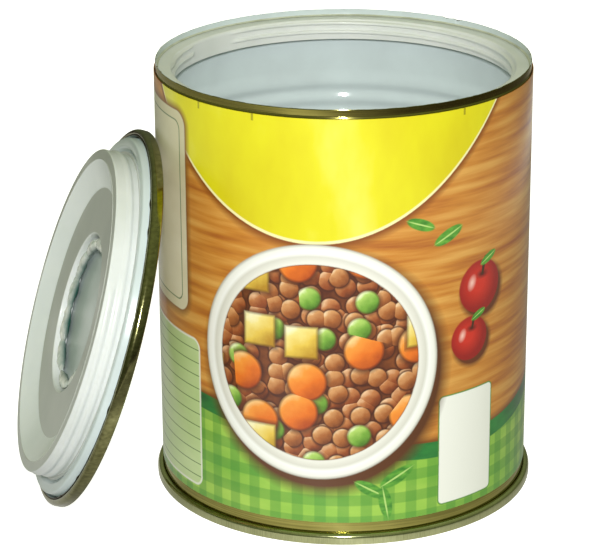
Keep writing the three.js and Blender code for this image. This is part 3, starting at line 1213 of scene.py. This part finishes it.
def make_finishes() -> Finishes:
    """Build the materials of the whole object."""
    return Finishes(
        gold=LacqueredTinplate().material(),
        clear=LacqueredTinplate(
            name="clear_lacquered_tinplate",
            light="#CCCF9E",
            dark="#A4A778",
            roughness=0.12,
            streak_mm=4.0,
            streak_length=0.08,
            relief=0.05,
            cloud_share=0.6,
        ).material(),
        # The bottom's clear lacquer again, painted darker on the lid's seam as painted shade
        lid_clear=LacqueredTinplate(
            name="lid_seam_tinplate_painted_shade",
            light="#979567",
            dark="#67653F",
            roughness=0.15,
            streak_mm=0.7,
            streak_length=2.0,
            relief=0.05,
            cloud_share=0.25,
        ).material(),
        panel_clear=LacqueredTinplate(
            name="stamped_lacquered_tinplate",
            light="#DCDAB8",
            dark="#BEBC9A",
            roughness=0.26,
            streak_mm=0.5,
            streak_length=1.0,
            relief=0.1,
            cloud_share=0.5,
        ).material(),
        # Very dark steel for the bare faces and cut edge of the strip left in the lid's seam
        cut_steel=LacqueredTinplate(
            name="cut_dark_steel",
            light="#6E6349",
            dark="#1E1A14",
            roughness=0.4,
            streak_mm=0.9,
            streak_length=1.0,
        ).material(),
        pale=PaleLacquer().material(),
        # A rougher, slightly lighter copy of the can's inner lacquer, for the lid
        lid_pale=PaleLacquer(
            name="rougher_lighter_inner_lacquer", light="#D5E0E2", dark="#CDD8DA", roughness=0.22
        ).material(),
        # The plug's plastic in three copies: darker on its level faces as painted shade, lighter
        # on its cone and upright walls as painted light
        plastic=MouldedPlastic().material(),
        cone_plastic_painted_light=MouldedPlastic(
            name="cone_polypropylene_painted_light", light="#F8FDFF", dark="#F0F6F8"
        ).material(),
        upright_plastic_painted_light=MouldedPlastic(
            name="upright_polypropylene_painted_light", light="#E2E5E5", dark="#DADEDD"
        ).material(),
        collar=MouldedPlastic(
            name="moulded_polypropylene_collar", light="#E7E9E5", dark="#DFE2DD"
        ).material(),
        glue=HotGlue().material(),
        # An olive-grey copy of the glue, for the line round the collar
        glue_line=HotGlue(
            name="olive_glue_line", light="#CFD2BC", dark="#B9BCA3", cloud_mm=6.0
        ).material(),
        compound=SealingCompound().material(),
        paper=LabelPaper().material(),
    )


# Sub-assemblies


@dataclass
class DoubleSeam:
    """A stamped end and the body's edge, folded into each other.

    Heights count from the plane where the seam meets the open body, positive inwards.
    """

    body_radius: float = 49.5
    outer_radius: float = 51.25
    height: float = 3.0
    hook_radius: float = 50.5
    hook_end: float = -0.6
    hook_top: float = -2.405
    cover_hook_radius: float = 49.74
    cover_hook_end: float = -1.85
    fold: float = -0.12
    shoulder: float = 0.9
    shoulder_curve: float = 0.3
    chuck_radius: float = 48.95
    countersink: float = 1.575
    countersink_outer: float = 48.2
    countersink_inner: float = 45.9
    panel: float = 0.375
    panel_radius: float = 44.95
    ring_rise: float = 0.7
    ring_width: float = 3.6
    ring_radii: tuple[float, float] = (26.0, 36.0)
    bend: float = 0.45

    def body_edge(self) -> Outline:
        """The middle line of the body's hook, from its free tip to the straight wall."""
        wall = self.body_radius - PLATE / 2
        return [
            (self.hook_radius, self.hook_end),
            (self.hook_radius, self.hook_top),
            (wall, self.hook_top),
            (wall, 0),
        ]

    def end_outline(self) -> Outline:
        """The section of the stamped end, from the axis to the cover hook and back."""
        top = -self.height + PLATE / 2
        seam_wall = self.outer_radius - PLATE / 2
        in_by = self.shoulder * self.shoulder_curve
        path = [(0, self.panel)]
        for radius in self.ring_radii:
            path += [
                (radius - self.ring_width / 2, self.panel),
                (radius, self.panel - self.ring_rise),
                (radius + self.ring_width / 2, self.panel),
            ]
        path += [
            (self.panel_radius, self.panel),
            (self.countersink_inner, self.countersink),
            (self.countersink_outer, self.countersink),
            (self.chuck_radius, top),
            (seam_wall, top),
            (seam_wall, self.fold - self.shoulder),
            (seam_wall - in_by, self.fold - in_by),
            (seam_wall - self.shoulder, self.fold),
            (self.cover_hook_radius, self.fold),
            (self.cover_hook_radius, self.cover_hook_end),
        ]
        outline = stroke(rounded(path, self.bend))
        return [(0, outline[0][1]), *outline[1:-1], (0, outline[-1][1])]


@dataclass
class CanShell:
    """The steel body with its rolled beads and cut edge, and the stamped bottom."""

    seam: DoubleSeam
    finishes: Finishes
    cut_height: float = 117.0
    bead_pitch: float = 4.85
    bead_depth: float = 0.6
    beads: int = 4
    bead_tops: tuple[float, float] = (44.0, 95.8)
    bead_points: int = 10
    run_out: float = 1.7
    chip: float = 0.5
    nicks: tuple[float, ...] = (41.5, 37.5)
    nick_width: float = 1.6
    gripped: float = 2.3
    grip: float = 0.2
    grip_curve: tuple[Point, ...] = ((0.15, 0.4), (0.85, 1.4), (1.0, 1.8), (1.0, 2.3))
    wear_scale: float = 0.5
    wear_mean: float = 0.4
    wear_share: float = 0.2
    seam_margin: float = 1.0

    def wall_outline(self) -> Outline:
        """The section of the body, with its hook at the bottom and its beads."""
        lift = self.seam.height
        wall = self.seam.body_radius - PLATE / 2
        path = rounded([(r, h + lift) for r, h in self.seam.body_edge()], self.seam.bend)[:-1]
        for top in self.bead_tops:
            low = top - (self.beads - 0.5) * self.bead_pitch
            for index in range(self.beads * self.bead_points + 1):
                share = index / self.bead_points
                dip = self.bead_depth * (1 - math.cos(math.tau * share)) / 2
                past = max(share - self.beads + 0.5, 0) * (self.run_out - 1)
                path.append((wall - dip, low + (share + past) * self.bead_pitch))
        step = self.cut_height - self.gripped
        edge = self.cut_height
        middle = wall - self.grip
        path += [(wall, step - PLATE / 2), (wall, step)]
        path += [(wall - self.grip * inward, step + PLATE * up) for inward, up in self.grip_curve]
        path += [(middle, edge - PLATE), (middle, edge)]
        outer, inner = PLATE / 3, PLATE / 2
        section = stroke(path)
        top = [index for index, spot in enumerate(section) if spot[1] > edge - TOUCHING]
        worn = [
            (middle - inner, edge - outer / 2),
            (middle - inner + outer / 2, edge),
            (middle + inner - outer / 2, edge),
            (middle + inner, edge - outer),
        ]
        if section[top[0]][0] > section[top[-1]][0]:
            worn.reverse()
        return section[: top[0]] + worn + section[top[-1] + 1 :]

    def cut(self, at: Vector) -> float:
        """How far the opener has worn down the body's cut edge."""
        if at.z < self.cut_height - PLATE:
            return 0.0
        fine = noise.noise(at * self.wear_scale) / 2 + self.wear_mean
        nick = max(1 - abs(bearing(at) - spot) / self.nick_width for spot in self.nicks)
        return max(fine * self.wear_share, nick, 0)

    def side_of_wall(self, at: Vector, normal: Vector) -> int:
        """Tell the wall's sides apart: 1 for the inside and the cut edge, 0 for the outside."""
        inward = normal.to_2d().dot(at.to_2d()) < 0
        return int(inward or at.z > self.cut_height - TOUCHING)

    def side_of_bottom(self, at: Vector, normal: Vector) -> int:
        """Tell the bottom's sides apart: 1 for the inside, 0 for the outside and the seam."""
        inside = self.seam.body_radius - PLATE / 2 - self.seam_margin
        return int(at.to_2d().length < inside and normal.z > 0)

    def build(self, axis: Matrix) -> None:
        """Make the wall and the bottom at the can's axis."""
        wall = turned("can_wall", self.wall_outline(), FINE_SEGMENTS)
        push(wall, self.cut, -self.chip, "Z")
        paint(wall, [self.finishes.gold, self.finishes.pale], self.side_of_wall)
        place(wall, axis)
        attach(wall, Body.CAN, Slot.TINPLATE, "can_body")
        bottom = turned("can_bottom", self.seam.end_outline())
        paint(bottom, [self.finishes.clear, self.finishes.pale], self.side_of_bottom)
        place(bottom, axis @ Matrix.Translation((0, 0, self.seam.height * MM)))
        attach(bottom, Body.CAN, Slot.TINPLATE, "bottom_end")


@dataclass
class Label:
    """The paper label: one wrap with a glued lap at the back."""

    finishes: Finishes
    inner_radius: float = 49.62
    thickness: float = 0.12
    low: float = 5.8
    high: float = 114.6
    lap_start: float = 90.0
    lap_angle: float = 18.0
    lap_step: float = 0.28
    lap_rise_from: float = 352.0
    lap_rise_angle: float = 8.0
    step_angle: float = 2.0

    @property
    def radius(self) -> float:
        """The radius of the paper's middle."""
        return self.inner_radius + self.thickness / 2

    def build(self, axis: Matrix) -> None:
        """Extrude the strip's upper edge along its wrap, then down, and give it thickness."""
        turns = [
            self.lap_start + self.step_angle * index
            for index in range(round((360 + self.lap_angle) / self.step_angle) + 1)
        ]
        spots = []
        for angle in turns:
            risen = (angle - self.lap_start - self.lap_rise_from) / self.lap_rise_angle
            over = min(max(risen, 0), 1) * self.lap_step
            turn = math.radians(angle)
            spots.append(
                Vector((math.cos(turn), math.sin(turn), 0)) * (self.radius + over) * MM
                + Vector((0, 0, self.high * MM))
            )
        label = wire("label", spots)
        bpy.ops.object.mode_set(mode="OBJECT")
        order = self.walk(label)
        bpy.ops.object.mode_set(mode="EDIT")
        bpy.ops.mesh.select_all(action="SELECT")
        bpy.ops.mesh.extrude_edges_move(
            TRANSFORM_OT_translate={"value": (0, 0, (self.low - self.high) * MM)}
        )
        bpy.ops.object.mode_set(mode="OBJECT")
        self.unroll(label, order)
        hold(label)
        bpy.ops.object.modifier_add(type="SOLIDIFY")
        paper = label.modifiers[-1]
        paper.thickness, paper.offset = self.thickness * MM, 0
        bpy.ops.object.modifier_apply(modifier=paper.name)
        bpy.ops.object.mode_set(mode="EDIT")
        bpy.ops.mesh.select_all(action="SELECT")
        bpy.ops.mesh.normals_make_consistent(inside=False)
        shaded(label)
        paint(label, [self.finishes.paper])
        place(label, axis)
        attach(label, Body.CAN, Slot.PAPER, "paper_label")

    def walk(self, label: Piece) -> dict[Point, float]:
        """Note how far along the strip each corner of its edge lies.

        Args:
            label: the strip's upper edge.

        Returns:
            From 0 to 1, for each corner's place seen from above.
        """
        neighbours: dict[int, list[int]] = {}
        for edge in label.data.edges:
            first, second = edge.vertices
            neighbours.setdefault(first, []).append(second)
            neighbours.setdefault(second, []).append(first)
        start = Vector((0, self.radius, self.high)) * MM
        ends = [index for index, near in neighbours.items() if len(near) == 1]
        here = min(ends, key=lambda index: (label.data.vertices[index].co - start).length)
        before, order = -1, []
        while here is not None:
            order.append(here)
            ahead = [index for index in neighbours[here] if index != before]
            before, here = here, (ahead[0] if ahead else None)
        last = len(order) - 1
        return {
            self.key(label.data.vertices[index].co): step / last
            for step, index in enumerate(order)
        }

    @staticmethod
    def key(spot: Vector) -> Point:
        """A corner's place seen from above, rounded so that it can be looked up."""
        return (round(spot.x, 6), round(spot.y, 6))

    def unroll(self, label: Piece, order: dict[Point, float]) -> None:
        """Write a UV map that is the printed sheet laid flat.

        Args:
            label: the strip, before it has a thickness.
            order: how far along the strip each corner lies.
        """
        while label.data.uv_layers:
            label.data.uv_layers.remove(label.data.uv_layers[0])
        sheet = label.data.uv_layers.new(name="sheet")
        middle = (self.low + self.high) / 2 * MM
        for loop in label.data.loops:
            corner = label.data.vertices[loop.vertex_index].co
            sheet.data[loop.index].uv = (order[self.key(corner)], float(corner.z > middle))


@dataclass
class Thread:
    """One right-hand thread ridge that runs round a wall, broken where the mould says."""

    pitch: float = 2.5
    depth: float = 0.85
    base: float = 1.2
    crest: float = 0.5
    first: float = 0.0
    last: float = 540.0
    height_at_zero: float = 0.0
    ease: float = 3.0

    def rise(self, angle: float, height: float) -> float:
        """How much of its full depth the ridge has at a place on the wall.

        Args:
            angle: degrees round the axis, 0 to 360.
            height: height on the wall.

        Returns:
            0 off the ridge to 1 on its crest.
        """
        best = 0.0
        turn = math.floor((self.first - self.ease - angle) / 360)
        while angle + 360 * turn <= self.last + self.ease:
            along = angle + 360 * turn
            middle = self.height_at_zero + self.pitch * along / 360
            away = abs(height - middle)
            side = (self.base / 2 - away) / ((self.base - self.crest) / 2)
            ends = min(along - self.first, self.last - along) / self.ease + 1
            share = min(max(min(side, ends), 0), 1)
            best = max(best, share * share * (3 - 2 * share))
            turn += 1
        return best


@dataclass
class Collar:
    """The plastic collar with its inside thread, and the glue line round it."""

    finishes: Finishes
    radius: float = 48.9
    throat: float = 45.0
    top: float = 115.1
    bottom: float = 109.4
    skirt_bottom: float = 110.2
    wall: float = 1.2
    flange: float = 1.3
    edge: float = 0.6
    corner: float = 0.3
    row: float = 0.09
    glue_width: float = 0.15
    glue_gap: float = 0.1
    glue_depth: float = 3.0
    glue_lift: float = 0.03
    fillet: float = 0.65
    fillet_steps: int = 6
    thread_below: float = 0.75
    thread_zero: float = 117.0
    thread_base: float = 1.3
    thread_crest: float = 0.45
    stretches: tuple[Point, ...] = ((144, 168), (-216, 117), (-459, -243))

    def threads(self) -> list[Thread]:
        """The ridge's stretches, each between two breaks."""
        zero = self.top - self.thread_below - Thread.pitch * self.thread_zero / 360
        return [
            Thread(
                base=self.thread_base,
                crest=self.thread_crest,
                first=first,
                last=last,
                height_at_zero=zero,
            )
            for first, last in self.stretches
        ]

    def outline(self) -> Outline:
        """The section, open below between throat and skirt."""
        corner, edge = self.corner, self.edge
        upper = rounded(
            [
                (self.radius, self.skirt_bottom),
                (self.radius, self.top),
                (self.throat + edge / 2, self.top),
                (self.throat, self.top - edge),
                (self.throat, self.top - 2 * edge),
            ],
            corner,
        )
        throat = evenly(upper[-1], (self.throat, self.bottom + corner), self.row)
        lower = rounded(
            [
                (self.throat, self.bottom + corner),
                (self.throat, self.bottom),
                (self.throat + self.wall, self.bottom),
                (self.throat + self.wall, self.top - self.flange),
                (self.radius - self.wall, self.top - self.flange),
                (self.radius - self.wall, self.skirt_bottom),
            ],
            corner,
        )
        return upper[:-1] + throat + lower[1:]

    def glue_outline(self) -> Outline:
        """The section of the glue line, with its fillet on the flange."""
        inner = self.radius + self.glue_gap
        outer = inner + self.glue_width
        seat = self.top + self.glue_gap
        foot = self.top - self.glue_depth
        section = [(inner, foot), (outer, foot), (outer, seat + self.fillet)]
        for step in range(1, self.fillet_steps):
            turn = math.radians(90 * step / self.fillet_steps)
            across = outer - self.fillet + self.fillet * math.cos(turn)
            up = seat + self.fillet - self.fillet * math.sin(turn) + self.glue_lift
            section.append((across, up))
        tip = outer - self.fillet
        return [*section, (tip, seat + self.glue_lift), (tip, seat), (inner, seat)]

    def build(self, axis: Matrix) -> None:
        """Make the collar with its thread, then the glue line."""
        collar = turned("collar", self.outline(), FINE_SEGMENTS)
        threads = self.threads()

        def weight(at: Vector) -> float:
            """The thread's height at a place on the throat."""
            if abs(at.to_2d().length - self.throat) > NEAR_WALL or at.z > self.top - self.edge:
                return 0.0
            return max(thread.rise(bearing(at), at.z) for thread in threads)

        push(collar, weight, threads[0].depth)
        paint(collar, [self.finishes.collar])
        place(collar, axis)
        attach(collar, Body.CAN, Slot.PLASTIC, "threaded_collar")
        glue = turned("collar_glue_line", self.glue_outline())
        paint(glue, [self.finishes.glue_line])
        place(glue, axis)
        attach(glue, Body.CAN, Slot.GLUE, "collar_glue")


@dataclass
class Plug:
    """The threaded plug: wall with ridges, rim, cone, floor and round opening."""

    finishes: Finishes
    core: float = 43.85
    base: float = 0.75
    lip_radius: float = 44.6
    lip_top: float = 1.25
    front: float = 7.3
    wall: float = 1.2
    front_wall: float = 0.95
    nose: float = 0.45
    rim_inner: float = 41.0
    flash: float = 0.2
    floor_radius: float = 34.0
    floor: float = 4.1
    opening: float = 21.5
    opening_edge: float = 0.5
    row: float = 0.09
    thread_start: float = 117.0
    thread_turns: float = 1.5
    thread_height: float = 1.7
    thread_zero: float = 63.0
    ridge: float = 0.38
    ridge_base: float = 2.5
    ridge_crest: float = 0.3
    cone_slope: Point = (0.2, 0.99)
    level_slope: float = 0.9

    def outline(self) -> Outline:
        """The section, open towards the steel end."""
        inside = self.core - self.wall
        roof = self.front - self.front_wall
        back = self.opening + self.wall
        ridged = evenly((self.core, self.lip_top), (self.core, self.front - self.nose), self.row)
        face = rounded(
            [
                (self.core, self.front - self.nose),
                (self.core - self.nose / 3, self.front),
                (self.rim_inner + self.flash, self.front),
                (self.rim_inner + self.flash / 2, self.front + self.flash),
                (self.rim_inner, self.front),
                (self.floor_radius, self.floor),
                (self.opening, self.floor),
                (self.opening, self.base),
            ],
            self.opening_edge,
        )
        return [
            (inside, self.base),
            (self.lip_radius, self.base),
            (self.lip_radius, self.lip_top),
            *ridged,
            *face[1:],
            (back, self.base),
            (back, self.floor - self.front_wall),
            (self.floor_radius, self.floor - self.front_wall),
            (self.rim_inner, roof),
            (inside, roof),
        ]

    def build(self, seat: Matrix) -> None:
        """Make the plug under the lid."""
        plug = turned("plug", self.outline(), FINE_SEGMENTS)
        thread = Thread(
            first=self.thread_start,
            last=self.thread_start + 360 * self.thread_turns,
            height_at_zero=self.thread_height - Thread.pitch * self.thread_zero / 360,
            base=self.ridge_base,
            crest=self.ridge_crest,
        )

        def weight(at: Vector) -> float:
            """The thread's height at a place on the wall."""
            if abs(at.to_2d().length - self.core) > NEAR_WALL:
                return 0.0
            return thread.rise(bearing(at), at.z)

        push(plug, weight, self.ridge)
        # Painted light and shade: lighter copies of the plastic on the cone and upright walls, the
        # darker one on the level faces
        paint(
            plug,
            [self.finishes.plastic, self.finishes.cone_plastic_painted_light, self.finishes.upright_plastic_painted_light],
            self.wall_of,
        )
        place(plug, seat)
        attach(plug, Body.LID, Slot.PLASTIC, "threaded_plug")

    def wall_of(self, at: Vector, normal: Vector) -> int:
        """Tell the plug's faces apart for painted light: 1 for the lighter cone, 2 for the lighter
        upright walls, 0 for the darker rest.
        """
        away = at.to_2d().length
        least, most = self.cone_slope
        if self.floor_radius < away < self.rim_inner and least < normal.z < most:
            return 1
        upright = away > self.core - self.nose or away < self.opening + self.opening_edge / 2
        return 2 if upright and normal.z < self.level_slope else 0


@dataclass
class Lid:
    """The lid: the can's cut-off end, the strip left in its seam, the plug and its glue."""

    seam: DoubleSeam
    plug: Plug
    finishes: Finishes
    lump_angles: tuple[float, ...] = (8, 36, 64, 92, 120, 148, 184, 224, 264, 312)
    lump_length: float = 13.0
    lump_width: float = 4.4
    lump_height: float = 3.2
    # How high the painted shade at a lump's foot reaches
    foot_shade_share: float = 0.62
    lump_gap: float = 0.12
    panel_inside: float = 0.5
    tear: float = 0.27
    burrs: tuple[float, ...] = (327.0, 317.0, 214.0, 232.0, 262.0, 40.0, 95.0, 150.0)
    burr_width: float = 2.2
    fray_scale: float = 0.9
    fray_mean: float = 0.35
    fray_share: float = 0.35
    strip_segments: int = 480
    level_slope: float = 0.9
    lump_segments: int = 56
    lump_rings: int = 36
    lump_smooth_angle: float = 60.0
    folds: tuple[Point, ...] = ((0.3, 0.6), (0.9, 0.3))
    fold_shift: float = 7.0
    # How dark the painted shade at a lump's foot is
    foot_shade_strength: float = 1.6
    bow_limit: float = 2.0

    def build(self, seat: Matrix) -> None:
        """Make every piece of the lid at its leaning place."""
        end = turned("lid_steel", self.seam.end_outline())
        paint(
            end,
            [self.finishes.lid_clear, self.finishes.lid_pale, self.finishes.panel_clear],
            self.side_of_end,
        )
        place(end, seat)
        attach(end, Body.LID, Slot.LID_STEEL, "lid_end")
        section = stroke(rounded(self.seam.body_edge(), self.seam.bend))
        strip = turned("lid_strip", section, self.strip_segments)
        push(strip, self.torn, self.tear, "Z")
        paint(strip, [self.finishes.cut_steel, self.finishes.lid_pale], self.side_of_strip)
        place(strip, seat)
        attach(strip, Body.LID, Slot.TINPLATE, "lid_body_hook")
        self.plug.build(seat)
        for number, angle in enumerate(self.lump_angles, 1):
            self.lump(number, angle, seat)

    def side_of_end(self, at: Vector, normal: Vector) -> int:
        """Tell the end's sides apart: 1 inside, 2 for the outside's panel, 0 for the seam."""
        away = at.to_2d().length
        if away < self.seam.body_radius - PLATE / 2 and normal.z > 0:
            return 1
        return 2 if away < self.seam.chuck_radius - PLATE else 0

    def side_of_strip(self, at: Vector, normal: Vector) -> int:
        """Tell the strip's sides apart: 1 for the lacquered inside, 0 for the bare rest."""
        return int(normal.to_2d().dot(at.to_2d()) < 0 and abs(normal.z) < self.level_slope)

    def torn(self, at: Vector) -> float:
        """How far the opener has pulled up the strip's cut edge, here and there."""
        if at.z < -PLATE / 8:
            return 0.0
        fine = noise.noise(at * self.fray_scale) / 2 + self.fray_mean
        burr = max(1 - abs(bearing(at) - spot) / self.burr_width for spot in self.burrs)
        return max(fine * self.fray_share, burr, 0)

    def bow(self, at: Vector) -> float:
        """How far a lump bends in to follow the opening's edge, as a share of its limit."""
        curve = self.plug.opening
        return (curve - math.sqrt(curve**2 - at.y**2)) / self.bow_limit

    def crease(self, number: int, scale: float) -> Callable[[Vector], float]:
        """Soft folds in a lump's skin.

        Args:
            number: the lump's number, which gives each lump folds of its own.
            scale: how many folds there are to a millimetre, about.

        Returns:
            A function that gives how deep a place lies, from 0 to 1.
        """
        shift = Vector((number * self.fold_shift, 0, 0))
        return lambda at: noise.noise(at * scale + shift) / 2 + 0.5

    def lump(self, number: int, angle: float, seat: Matrix) -> None:
        """Make one lump of glue between the opening's edge and the steel panel.

        Args:
            number: the lump's number.
            angle: degrees round the opening.
            seat: the lid's place.
        """
        deselect_all()
        bpy.ops.mesh.primitive_uv_sphere_add(
            segments=self.lump_segments, ring_count=self.lump_rings, radius=0.5
        )
        lump = bpy.context.active_object
        lump.name = lump.data.name = f"glue_lump_{number}"
        reach = self.plug.opening - self.lump_gap - self.lump_width / 2
        middle = self.panel_inside + self.lump_gap + self.lump_height / 2
        size = Matrix.Diagonal((self.lump_width, self.lump_length, self.lump_height, 1))
        place(lump, Matrix.Scale(MM, 4) @ Matrix.Translation((reach, 0, middle)) @ size)
        push(lump, self.bow, -self.bow_limit, "X")
        for scale, depth in self.folds:
            push(lump, self.crease(number, scale), -depth)
        # Painted shade: mark the lump's dark foot for the glue's colour
        self.note_foot_shade(lump)
        place(lump, Matrix.Rotation(math.radians(angle), 4, "Z"))
        shaded(lump, self.lump_smooth_angle)
        paint(lump, [self.finishes.glue])
        place(lump, seat)
        attach(lump, Body.LID, Slot.GLUE, f"plug_glue_blob_{number}")

    def note_foot_shade(self, lump: Piece) -> None:
        """Write how deep each corner lies in the painted shade at the lump's foot, for its glue.

        The foot is the low side that faces the opening's middle.
        """
        low = (self.panel_inside + self.lump_gap) * MM
        near = (self.plug.opening - self.lump_gap - self.lump_width) * MM
        depth = lump.data.attributes.new(FOOT_SHADE, "FLOAT", "POINT")
        shares = []
        for vertex in lump.data.vertices:
            around = vertex.co.to_2d().length
            above = (vertex.co.z - low) / (self.lump_height * MM)
            outward = (around - near) / (self.lump_width * MM)
            share = (above + outward) / 2 / self.foot_shade_share
            shares.append(min(max(self.foot_shade_strength - self.foot_shade_strength * share, 0), 1))
        depth.data.foreach_set("value", shares)


def aimed(at: Vector, to: Vector) -> Matrix:
    """The place of something at one spot that looks at another."""
    look = (to - at).to_track_quat("-Z", "Y").to_matrix().to_4x4()
    return Matrix.Translation(at) @ look


@dataclass
class Studio:
    """The pale floor, the soft light and the camera of the photograph."""

    focal_pixels: float = 2603.0
    frame_pixels: float = 600.0
    sensor: float = 36.0
    camera_at: Place = (-124.1, -643.9, 299.4)
    camera_to: Place = (7.5, 2.33, 55.87)
    camera_roll: float = -0.315
    clip: Point = (0.05, 30.0)
    floor_size: float = 12000.0
    floor_glow: float = 0.9
    floor_colour: str = "#F4F4F2"
    floor_roughness: float = 0.9
    sheet_size: float = 2800.0
    sheet_at: Point = (-110.0, 50.0)
    sheet_strength: float = 1.1
    sheet_glow: Shades = (
        (0.0, "#C8C8C2"),
        (80.0, "#BEBEB8"),
        (94.0, "#A0A09A"),
        (117.0, "#BCBCB6"),
        (148.0, "#DCDCD4"),
        (159.0, "#FFFFFF"),
        (168.0, "#DADAD2"),
        (184.0, "#B6B6AE"),
        (195.0, "#989890"),
        (266.0, "#8E8E86"),
        (375.0, "#88887C"),
        (400.0, "#FFFFF6"),
        (435.0, "#EEECE0"),
        (477.0, "#8E8C80"),
        (510.0, "#56524A"),
        (560.0, "#3A342C"),
    )
    room_colour: str = "#ECFAC0"
    room_strength: float = 0.12
    ceiling_strength: float = 0.42
    bounce_strength: float = 0.7
    bounce_colour: str = "#F6F4FF"
    flash_offset: Place = (3.0, 18.0, 50.0)
    flash_aim: Place = (-5.0, 0.0, 60.0)
    flash_size: Point = (26.0, 78.0)
    flash_power: float = 4.2
    fill_at: Place = (300.0, 850.0, 260.0)
    fill_aim: Place = (19.0, 0.0, 60.0)
    fill_size: Point = (500.0, 500.0)
    fill_power: float = 1.8

    def build(self) -> None:
        """Set up everything that isn't the object."""
        self.camera()
        self.floor()
        self.lights()
        bpy.context.scene.view_settings.view_transform = "Standard"

    def camera(self) -> None:
        """Put the camera where the photograph was taken from."""
        data = bpy.data.cameras.new("camera")
        data.sensor_width = self.sensor
        data.lens = self.focal_pixels / self.frame_pixels * self.sensor
        data.clip_start, data.clip_end = self.clip
        camera = bpy.data.objects.new("camera", data)
        bpy.context.scene.collection.objects.link(camera)
        at, to = Vector(self.camera_at) * MM, Vector(self.camera_to) * MM
        roll = Matrix.Rotation(math.radians(self.camera_roll), 4, "Z")
        camera.matrix_world = aimed(at, to) @ roll
        bpy.context.scene.camera = camera

    def floor(self) -> None:
        """Lay a plain pale floor, and a pale sheet near the foot that only metal mirrors."""
        middle = Vector((*self.sheet_at, 0)) * MM
        planes = (
            ("floor", self.floor_size, self.floor_glow),
            ("sheet", self.sheet_size, self.sheet_strength),
        )
        for name, size, glow in planes:
            deselect_all()
            spot = middle if name == "sheet" else Vector((0, 0, 0))
            bpy.ops.mesh.primitive_plane_add(size=size * MM, location=spot)
            plane = bpy.context.active_object
            plane.name = name
            material, shader, tree = new_material(f"pale_paper_{name}")
            tune(
                shader,
                Base_Color=linear(self.floor_colour),
                Roughness=self.floor_roughness,
                Emission_Color=linear("#FFFFFF"),
                Emission_Strength=glow,
            )
            if name == "sheet":
                tune(shader, Base_Color=linear("#000000"), Specular_IOR_Level=0)
                self.fade(shader, tree)
            plane.data.materials.append(material)
            plane.visible_diffuse = plane.visible_transmission = False
            plane.visible_camera = name == "floor"
            plane.visible_shadow = name == "floor"
            plane.visible_glossy = name == "sheet"

    def fade(self, shader: Node, tree: Tree) -> None:
        """Let the mirrored sheet glow as the lit table does, more or less far from the can.

        Args:
            shader: the sheet's main shader.
            tree: its material's tree.
        """
        where = add(tree, "TexCoord")
        away = add(tree, "VectorMath", "LENGTH", in0=where.outputs["Object"])
        share = add(
            tree, "MapRange", Value=away.outputs["Value"], From_Max=self.sheet_size / 2 * MM
        )
        ramp = [(spot / (self.sheet_size / 2), code) for spot, code in self.sheet_glow]
        glow = add(tree, "ValToRGB", {"ramp": ramp}, Fac=share.outputs[0])
        tree.links.new(glow.outputs[0], shader.inputs["Emission Color"])

    def lights(self) -> None:
        """Light it with a small soft box over the camera, in a dim warm room."""
        world = bpy.data.worlds.new("surround")
        bpy.context.scene.world = world
        world.use_nodes = True
        tree = world.node_tree
        room = tree.nodes["Background"]
        where = add(tree, "TexCoord")
        parts = add(tree, "SeparateXYZ", Vector=where.outputs["Generated"])
        upright = add(tree, "Math", "ABSOLUTE", in0=parts.outputs[2])
        glow = add(
            tree,
            "MapRange",
            Value=upright.outputs[0],
            To_Min=self.room_strength,
            To_Max=self.ceiling_strength,
        )
        below = add(tree, "MapRange", Value=parts.outputs[2], From_Min=0.0, From_Max=-1.0)
        both = add(
            tree,
            "Math",
            "MULTIPLY_ADD",
            in0=below.outputs[0],
            in1=self.bounce_strength,
            in2=glow.outputs[0],
        )
        tint = add(
            tree,
            "Mix",
            {"data_type": "RGBA"},
            in0=below.outputs[0],
            in6=linear(self.room_colour),
            in7=linear(self.bounce_colour),
        )
        tree.links.new(tint.outputs[2], room.inputs["Color"])
        tree.links.new(both.outputs[0], room.inputs["Strength"])
        at = Vector(self.camera_at) + Vector(self.flash_offset)
        self.box("key", at, self.flash_aim, self.flash_size, self.flash_power)
        fill = self.box("back_fill", self.fill_at, self.fill_aim, self.fill_size, self.fill_power)
        fill.visible_glossy = False

    def box(self, name: str, at: Place, to: Place, size: Point, power: float) -> Piece:
        """Hang one rectangular soft box.

        Args:
            name: the light's name.
            at: its place in millimetres.
            to: what it points at.
            size: its width and height in millimetres.
            power: its power in watts.

        Returns:
            The light.
        """
        data = bpy.data.lights.new(name, "AREA")
        data.shape, data.size, data.size_y = "RECTANGLE", size[0] * MM, size[1] * MM
        data.energy = power
        light = bpy.data.objects.new(name, data)
        bpy.context.scene.collection.objects.link(light)
        light.matrix_world = aimed(Vector(at) * MM, Vector(to) * MM)
        return light


def can_axis() -> Matrix:
    """The can's axis, from the box of its round bottom."""
    low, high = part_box("bottom_end")
    return Matrix.Translation(((low.x + high.x) / 2, (low.y + high.y) / 2, 0))


def lid_seat() -> Matrix:
    """The lid's own frame as it leans: its centre and its inward direction."""
    turn = next(joint for joint in frame["joints"] if joint["name"] == "lid_turn")
    inward = Vector(turn["axis"]).normalized()
    side = Vector((0, 1, 0))
    across = side.cross(inward)
    basis = Matrix((across, side, inward)).transposed().to_4x4()
    return Matrix.Translation(turn["pos_m"]) @ basis


def dress_hidden_nodes(finishes: Finishes) -> None:
    """Give the solids that stay, sealed inside seams and plug, their own materials."""
    worn = {
        "bottom_seam_compound": finishes.compound,
        "lid_seam_compound": finishes.compound,
        "outer_glue_bead": finishes.glue,
        "inner_glue_bead": finishes.glue,
    }
    for node, material in worn.items():
        paint(frame["nodes"][node], [material])


def main() -> None:
    """Build the object and its studio."""
    logging.basicConfig(level=logging.INFO, format="%(name)s: %(message)s")
    finishes = make_finishes()
    Studio().build()
    axis, seat, seam = can_axis(), lid_seat(), DoubleSeam()
    CanShell(seam, finishes).build(axis)
    Label(finishes).build(axis)
    Collar(finishes).build(axis)
    Lid(seam, Plug(finishes), finishes).build(seat)
    dress_hidden_nodes(finishes)
    deselect_all()


if __name__ == "__main__":
    main()
